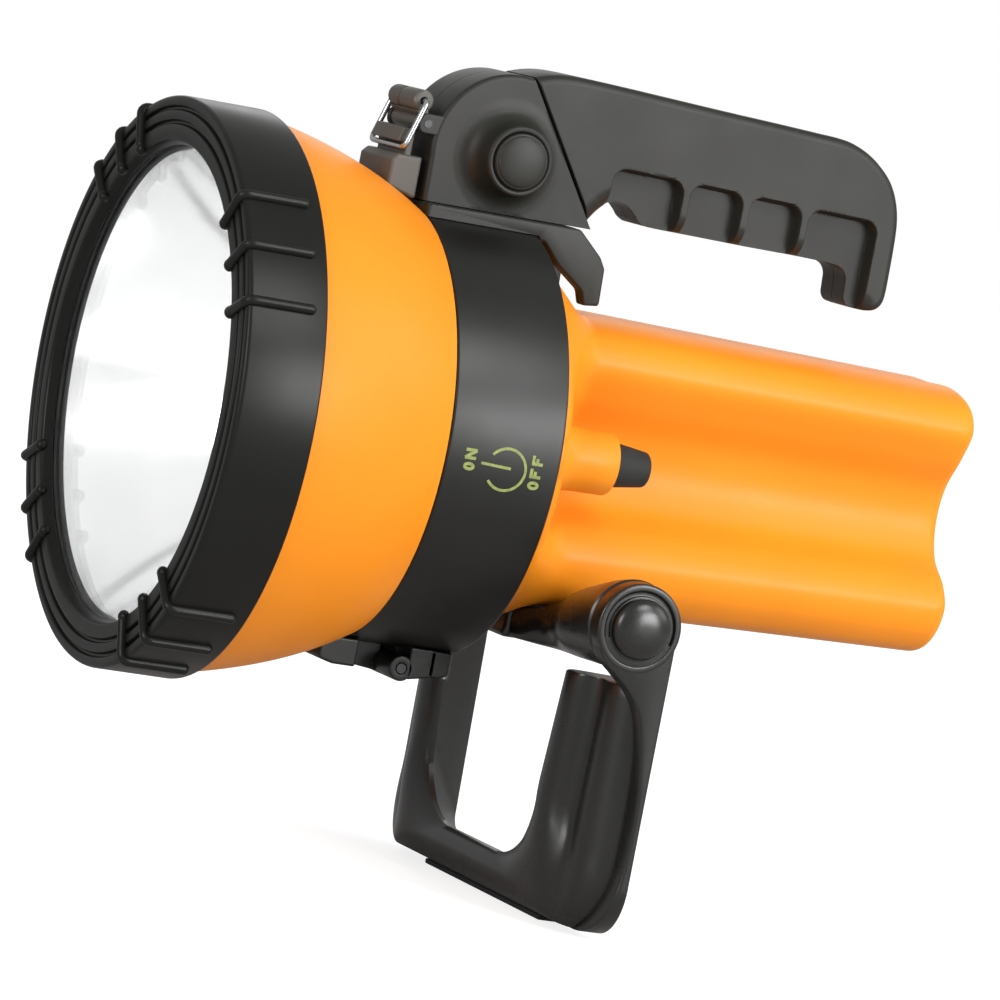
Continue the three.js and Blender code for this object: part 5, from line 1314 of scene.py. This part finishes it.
def stand_strip(side):
    """The outer strip of an arm: between the plate's edge and the outside of the U, thinning to
    nothing round the bottom corner, its front following a smooth line down from the eye."""
    edges = []
    lead = np.linspace(0, 1, 14, endpoint=False)[:, None]
    for y, corner, middle, radii in ((ARM_OUTSIDE, -119.0, 66.0, (13.5, 19.6)),
                                     (STRIP_OUTSIDE, -122.8, 70.0, (15.8, 16.0))):
        line = half_u((y, y), corner, (middle, corner), radii, STAND_BOTTOM)[:STRIP_POINTS]
        edges.append(np.vstack([np.array([y, STRIP_TOP]) * (1 - lead) + line[0] * lead, line]))
    inner, outer = edges
    front = smooth_line(STRIP_FRONT, 8)
    front_x = np.interp(-outer[:, 1], -front[:, 1], front[:, 0])
    turn = quarter_round(1, 4)
    rings = []
    for a, b, x in zip(inner, outer, front_x):
        wide = np.linalg.norm(b - a)
        e = min(STRIP_ROUND, wide * 0.4)
        loop = [(0, STAND_REAR), (0, x)]
        loop += [(1 - e / wide * sine, x - e * cosine) for sine, cosine in turn]
        loop += [(1 - e / wide * cosine, STAND_REAR + e * sine) for sine, cosine in turn]
        loop = np.array(loop)
        yz = a + (b - a) * loop[:, :1]
        rings.append(np.column_stack([loop[:, 1], yz[:, 0] * side, yz[:, 1]]))
    return lofted(rings)


def stand_eye(side):
    """The eye at the top of an arm: a disc turned about the pivot with a rounded rim and a ring
    groove round the cap, and a bore for the bolt."""
    profile = filleted([
        (ARM_OUTSIDE, EYE_BORE, 0.2), (ARM_OUTSIDE, EYE_RADIUS, 0.8),
        (EYE_OUTSIDE, EYE_RADIUS, 1.3), (EYE_OUTSIDE, 11.7, 0.5), (85.1, 11.2, 0.4),
        (85.1, 10.0, 0.3), (EYE_OUTSIDE, 9.9, 0.2), (EYE_OUTSIDE, EYE_BORE, 0.2)], 5)
    return revolved(profile * [side, 1], 96, (PIVOT[0], 0, PIVOT[1]), "y")


def pivot_cap(side):
    """The cap over a pivot bolt: a low wall and a dome whose height is the sine of the angle at which
    its radius is the cosine raised to the power 0.85, so it is a little flatter in the middle than a
    sphere."""
    rise = np.linspace(0.12, math.pi / 2, 18)
    dome = np.stack([CAP_WALL_TOP + CAP_RISE * np.sin(rise), CAP_RADIUS * np.cos(rise) ** 0.85], -1)
    dome[-1, 1] = 0
    profile = np.vstack([[(CAP_ROOT, 0), (CAP_ROOT, 8.9), (CAP_ROOT + 0.3, CAP_RADIUS), (87.4, 9.35)],
                         dome])
    return revolved(profile * [side, 1], 72, (PIVOT[0], 0, PIVOT[1]), "y", False)


# An arm of the bracket: place across the lamp, half width, top, bottom, power of the ring
BRACKET_ARM = [
    (20.0, 16.0, -49.0, -58.2, 0.28), (30.0, 12.5, -46.4, -58.3, 0.5),
    (37.0, 9.6, -42.6, -58.3, 0.8), (43.0, 9.6, -39.6, -58.3, 0.95),
    (49.0, 11.6, -37.2, -58.2, 1.0), (55.0, 13.4, -35.2, -58.0, 1.0),
    (64.0, 14.0, -32.6, -57.7, 1.0), (72.0, 14.1, -30.4, -57.5, 1.0),
    (78.4, 14.1, -29.2, -57.4, 1.0)]
# Where the arm of the bracket ends across the lamp: its last full ring and its rim
BRACKET_FULL, BRACKET_END = 78.5, 79.1


def bracket_arm(side):
    """One arm of the bracket: rings across the lamp that change from a flat box under the body
    to a circle round the pivot; a ring is the cosine and sine of the angle, each raised to a
    power that grows to one, between a top and a bottom that follow smooth lines."""
    line = smooth_line(BRACKET_ARM, 6)
    turn = circle(96)[None, :]
    y, wide, top, bottom, power = [line[:, k][:, None] for k in range(5)]
    power = np.minimum(power, 1)
    across = np.sign(np.cos(turn)) * np.abs(np.cos(turn)) ** power
    up = np.sign(np.sin(turn)) * np.abs(np.sin(turn)) ** power
    rings = np.stack([PIVOT[0] + wide * across, y + 0 * across,
                      (top + bottom) / 2 + (top - bottom) / 2 * up], -1)
    rim = rings[-1].copy()
    rings[-1][:, 1] = BRACKET_FULL
    rim[:, 1] = BRACKET_END
    rim[:, [0, 2]] = PIVOT + (rim[:, [0, 2]] - PIVOT) * 0.955
    return lofted(np.concatenate([rings, rim[None]]) * [1, side, 1])


class SEARCHLIGHT_OT_stand(bpy.types.Operator):
    """U-shaped stand, its bracket, pivot caps and foot pad"""
    bl_idname = "searchlight.stand"
    bl_label = "Stand"

    def execute(self, context):
        black = "stand_plastic"
        shells = [stand_plate()]
        for side, _ in SIDES:
            shells += [stand_strip(side), stand_eye(side)]
        make_piece("stand_u", shells, black, "stand", "stand_frame")
        saddle = outline([(-24, -58.2, 3), (24, -58.2, 3), (24, -48.2, 0.5),
                          (-24, -48.2, 0.5)], 6, 140)
        shells = [slab(saddle, -158.8, -126.2, 1.6, "x"), bracket_arm(1), bracket_arm(-1)]
        make_piece("bracket", shells, black, "lamp", "stand_bracket")
        for side, name in SIDES:
            make_piece(f"pivot_cap_{name}", [pivot_cap(side)], black, "stand", f"bolt_cap_{name}")
        pad = outline([(-154.0, -140.78, 0.5), (-146.0, -140.78, 0.5), (-146.0, -139.1, 0.3),
                       (-154.0, -139.1, 0.3)], 4, 60)
        make_piece("foot_strip", [slab(pad, -46.0, 46.0, 0.5)], "black_rubber", "stand", "foot_pad")
        return {"FINISHED"}


# Parts that keep their CAD shape, and the stage

CAD_FINISHES = {
    "black_plastic": ["bulb_holder", "battery_carrier", "switch_body"],
    "black_rubber": ["head_seal"],
    "dark_steel": ["hinge_pin", "latch_pin"],
    "steel": ["contact_spring_upper", "contact_spring_lower", "swivel_spool", "button_spring",
              "pivot_bolt_left", "pivot_bolt_right"],
    "brass": ["front_contact_upper", "front_contact_lower", "rear_contact_plate", "swivel_washer"],
    "cell": ["battery_cell_1", "battery_cell_2", "battery_cell_3", "battery_cell_4"],
}


class SEARCHLIGHT_OT_inner_parts(bpy.types.Operator):
    """Finishes of the parts that keep their CAD shape"""
    bl_idname = "searchlight.inner_parts"
    bl_label = "Inner parts"

    def execute(self, context):
        for finish, names in CAD_FINISHES.items():
            for name in names:
                mesh = frame["nodes"][name].data
                mesh.materials.clear()
                mesh.materials.append(finish_of(finish))
        return {"FINISHED"}


# The photograph's camera: its place from the bezel's centre in metres, and its picture's directions
CAMERA_PLACE = LAMP_ORIGIN + (0.7587, 1.9819, 0.1433)
CAMERA_RIGHT = (-0.9021, 0.3879, 0.1892)
CAMERA_DOWN = (-0.1435, 0.1440, -0.9791)
CAMERA_LENS = 251.8
# Strength of the world on the object, the floor's glow and half its size, and where all lights
# aim; a light is its name, place, size and power
WORLD_LIGHT, FLOOR_GLOW, FLOOR_HALF = 0.45, 0.78, 6.0
LIGHT_AIM = (0.0, 0.0, 0.14)
STUDIO_LIGHTS = [
    ("key", (-0.5, 1.5, 1.5), (0.8, 0.8), 14.5),
    ("front", (1.75, 0.9, 0.7), (0.8, 0.8), 14),
    ("rear", (-1.2, 0.6, 0.8), (0.7, 0.7), 4),
    ("side", (-0.95, 1.9, 0.58), (0.9, 0.7), 27),
    ("back", (-0.6, -1.7, 0.8), (1.2, 0.5), 2.5),
]


def seen_by_eye(tree, low, high):
    """High where a ray comes from the camera or through clear glass, and low elsewhere."""
    rays = tree.nodes.new("ShaderNodeLightPath")
    larger = tree.nodes.new("ShaderNodeMath")
    larger.operation = "MAXIMUM"
    tree.links.new(rays.outputs["Is Camera Ray"], larger.inputs[0])
    tree.links.new(rays.outputs["Is Transmission Ray"], larger.inputs[1])
    return level_between(tree, larger.outputs["Value"], low, high)


def floor_material():
    """White paper floor: a faint mottle, and a glow that the eye alone sees, so that it shows
    as white with the object's shadow on it."""
    material, tree, shader = new_material("pale_floor")
    mottle = noise(tree, 3, 3)
    tree.links.new(shaded_between(tree, mottle, 0.3, 0.7, (0.5, 0.5, 0.5), (0.53, 0.53, 0.53)),
                   shader["Base Color"])
    shader["Roughness"].default_value = 0.95
    shader["Specular IOR Level"].default_value = 0.0
    shader["Emission Color"].default_value = (1, 1, 1, 1)
    tree.links.new(seen_by_eye(tree, 0.0, FLOOR_GLOW), shader["Emission Strength"])
    return material


def area_light(name, place, size, power):
    """A rectangular soft light at a place, turned towards the object."""
    light = bpy.data.lights.new(name, "AREA")
    light.shape = "RECTANGLE"
    light.size, light.size_y = size
    light.energy = power
    lamp = bpy.data.objects.new(name, light)
    bpy.context.scene.collection.objects.link(lamp)
    lamp.location = place
    lamp.visible_camera = False
    lamp.rotation_euler = (Vector(LIGHT_AIM) - Vector(place)).to_track_quat("-Z", "Y").to_euler()


class SEARCHLIGHT_OT_studio(bpy.types.Operator):
    """Pale floor, soft lights, world and camera"""
    bl_idname = "searchlight.studio"
    bl_label = "Stage"

    def execute(self, context):
        scene = context.scene
        scene.view_settings.view_transform = "Standard"
        mesh = bpy.data.meshes.new("floor")
        edge = FLOOR_HALF
        mesh.from_pydata([(-edge, -edge, 0), (edge, -edge, 0), (edge, edge, 0), (-edge, edge, 0)],
                         [], [(0, 1, 2, 3)])
        mesh.materials.append(floor_material())
        floor = bpy.data.objects.new("floor", mesh)
        scene.collection.objects.link(floor)
        world = bpy.data.worlds.new("studio")
        world.use_nodes = True
        scene.world = world
        tree = world.node_tree
        background = tree.nodes["Background"].inputs
        background["Color"].default_value = (1, 1, 1, 1)
        tree.links.new(seen_by_eye(tree, WORLD_LIGHT, 1.0), background["Strength"])
        for light in STUDIO_LIGHTS:
            area_light(*light)
        data = bpy.data.cameras.new("camera")
        data.sensor_width = 36
        data.lens = CAMERA_LENS
        data.clip_start, data.clip_end = 0.05, 50
        camera = bpy.data.objects.new("camera", data)
        scene.collection.objects.link(camera)
        right, down = np.array(CAMERA_RIGHT), np.array(CAMERA_DOWN)
        ahead = np.cross(right, down)
        turn = np.eye(4)
        turn[:3, 0], turn[:3, 1], turn[:3, 2], turn[:3, 3] = right, -down, -ahead, CAMERA_PLACE
        camera.matrix_world = Matrix(turn.tolist())
        scene.camera = camera
        return {"FINISHED"}


class SEARCHLIGHT_PT_panel(bpy.types.Panel):
    """Lists the searchlight's sizes, colours and pieces"""
    bl_idname = "SEARCHLIGHT_PT_panel"
    bl_label = "Searchlight"
    bl_space_type = "VIEW_3D"
    bl_region_type = "UI"
    bl_category = "Searchlight"

    def draw(self, context):
        layout = self.layout
        for group in (context.scene.searchlight_sizes, context.scene.searchlight_colours):
            for name in group.__annotations__:
                layout.prop(group, name)
        for operator in OPERATORS:
            layout.operator(operator.bl_idname)


OPERATORS = (
    SEARCHLIGHT_OT_bezel, SEARCHLIGHT_OT_lens, SEARCHLIGHT_OT_reflector,
    SEARCHLIGHT_OT_front_housing, SEARCHLIGHT_OT_collar, SEARCHLIGHT_OT_battery_body,
    SEARCHLIGHT_OT_switch, SEARCHLIGHT_OT_knuckle, SEARCHLIGHT_OT_grip, SEARCHLIGHT_OT_latch,
    SEARCHLIGHT_OT_hinge, SEARCHLIGHT_OT_stand, SEARCHLIGHT_OT_inner_parts, SEARCHLIGHT_OT_studio,
)
CLASSES = (SearchlightSizes, SearchlightColours, *OPERATORS, SEARCHLIGHT_PT_panel)


def register():
    """Adds the classes and the settings to Blender."""
    for cls in CLASSES:
        bpy.utils.register_class(cls)
    bpy.types.Scene.searchlight_sizes = bpy.props.PointerProperty(type=SearchlightSizes)
    bpy.types.Scene.searchlight_colours = bpy.props.PointerProperty(type=SearchlightColours)


def unregister():
    """Takes the settings and the classes out again."""
    del bpy.types.Scene.searchlight_sizes
    del bpy.types.Scene.searchlight_colours
    for cls in reversed(CLASSES):
        bpy.utils.unregister_class(cls)


def main():
    """Builds every piece in order."""
    register()
    for operator in OPERATORS:
        group, name = operator.bl_idname.split(".")
        getattr(getattr(bpy.ops, group), name)()


if __name__ == "__main__":
    main()
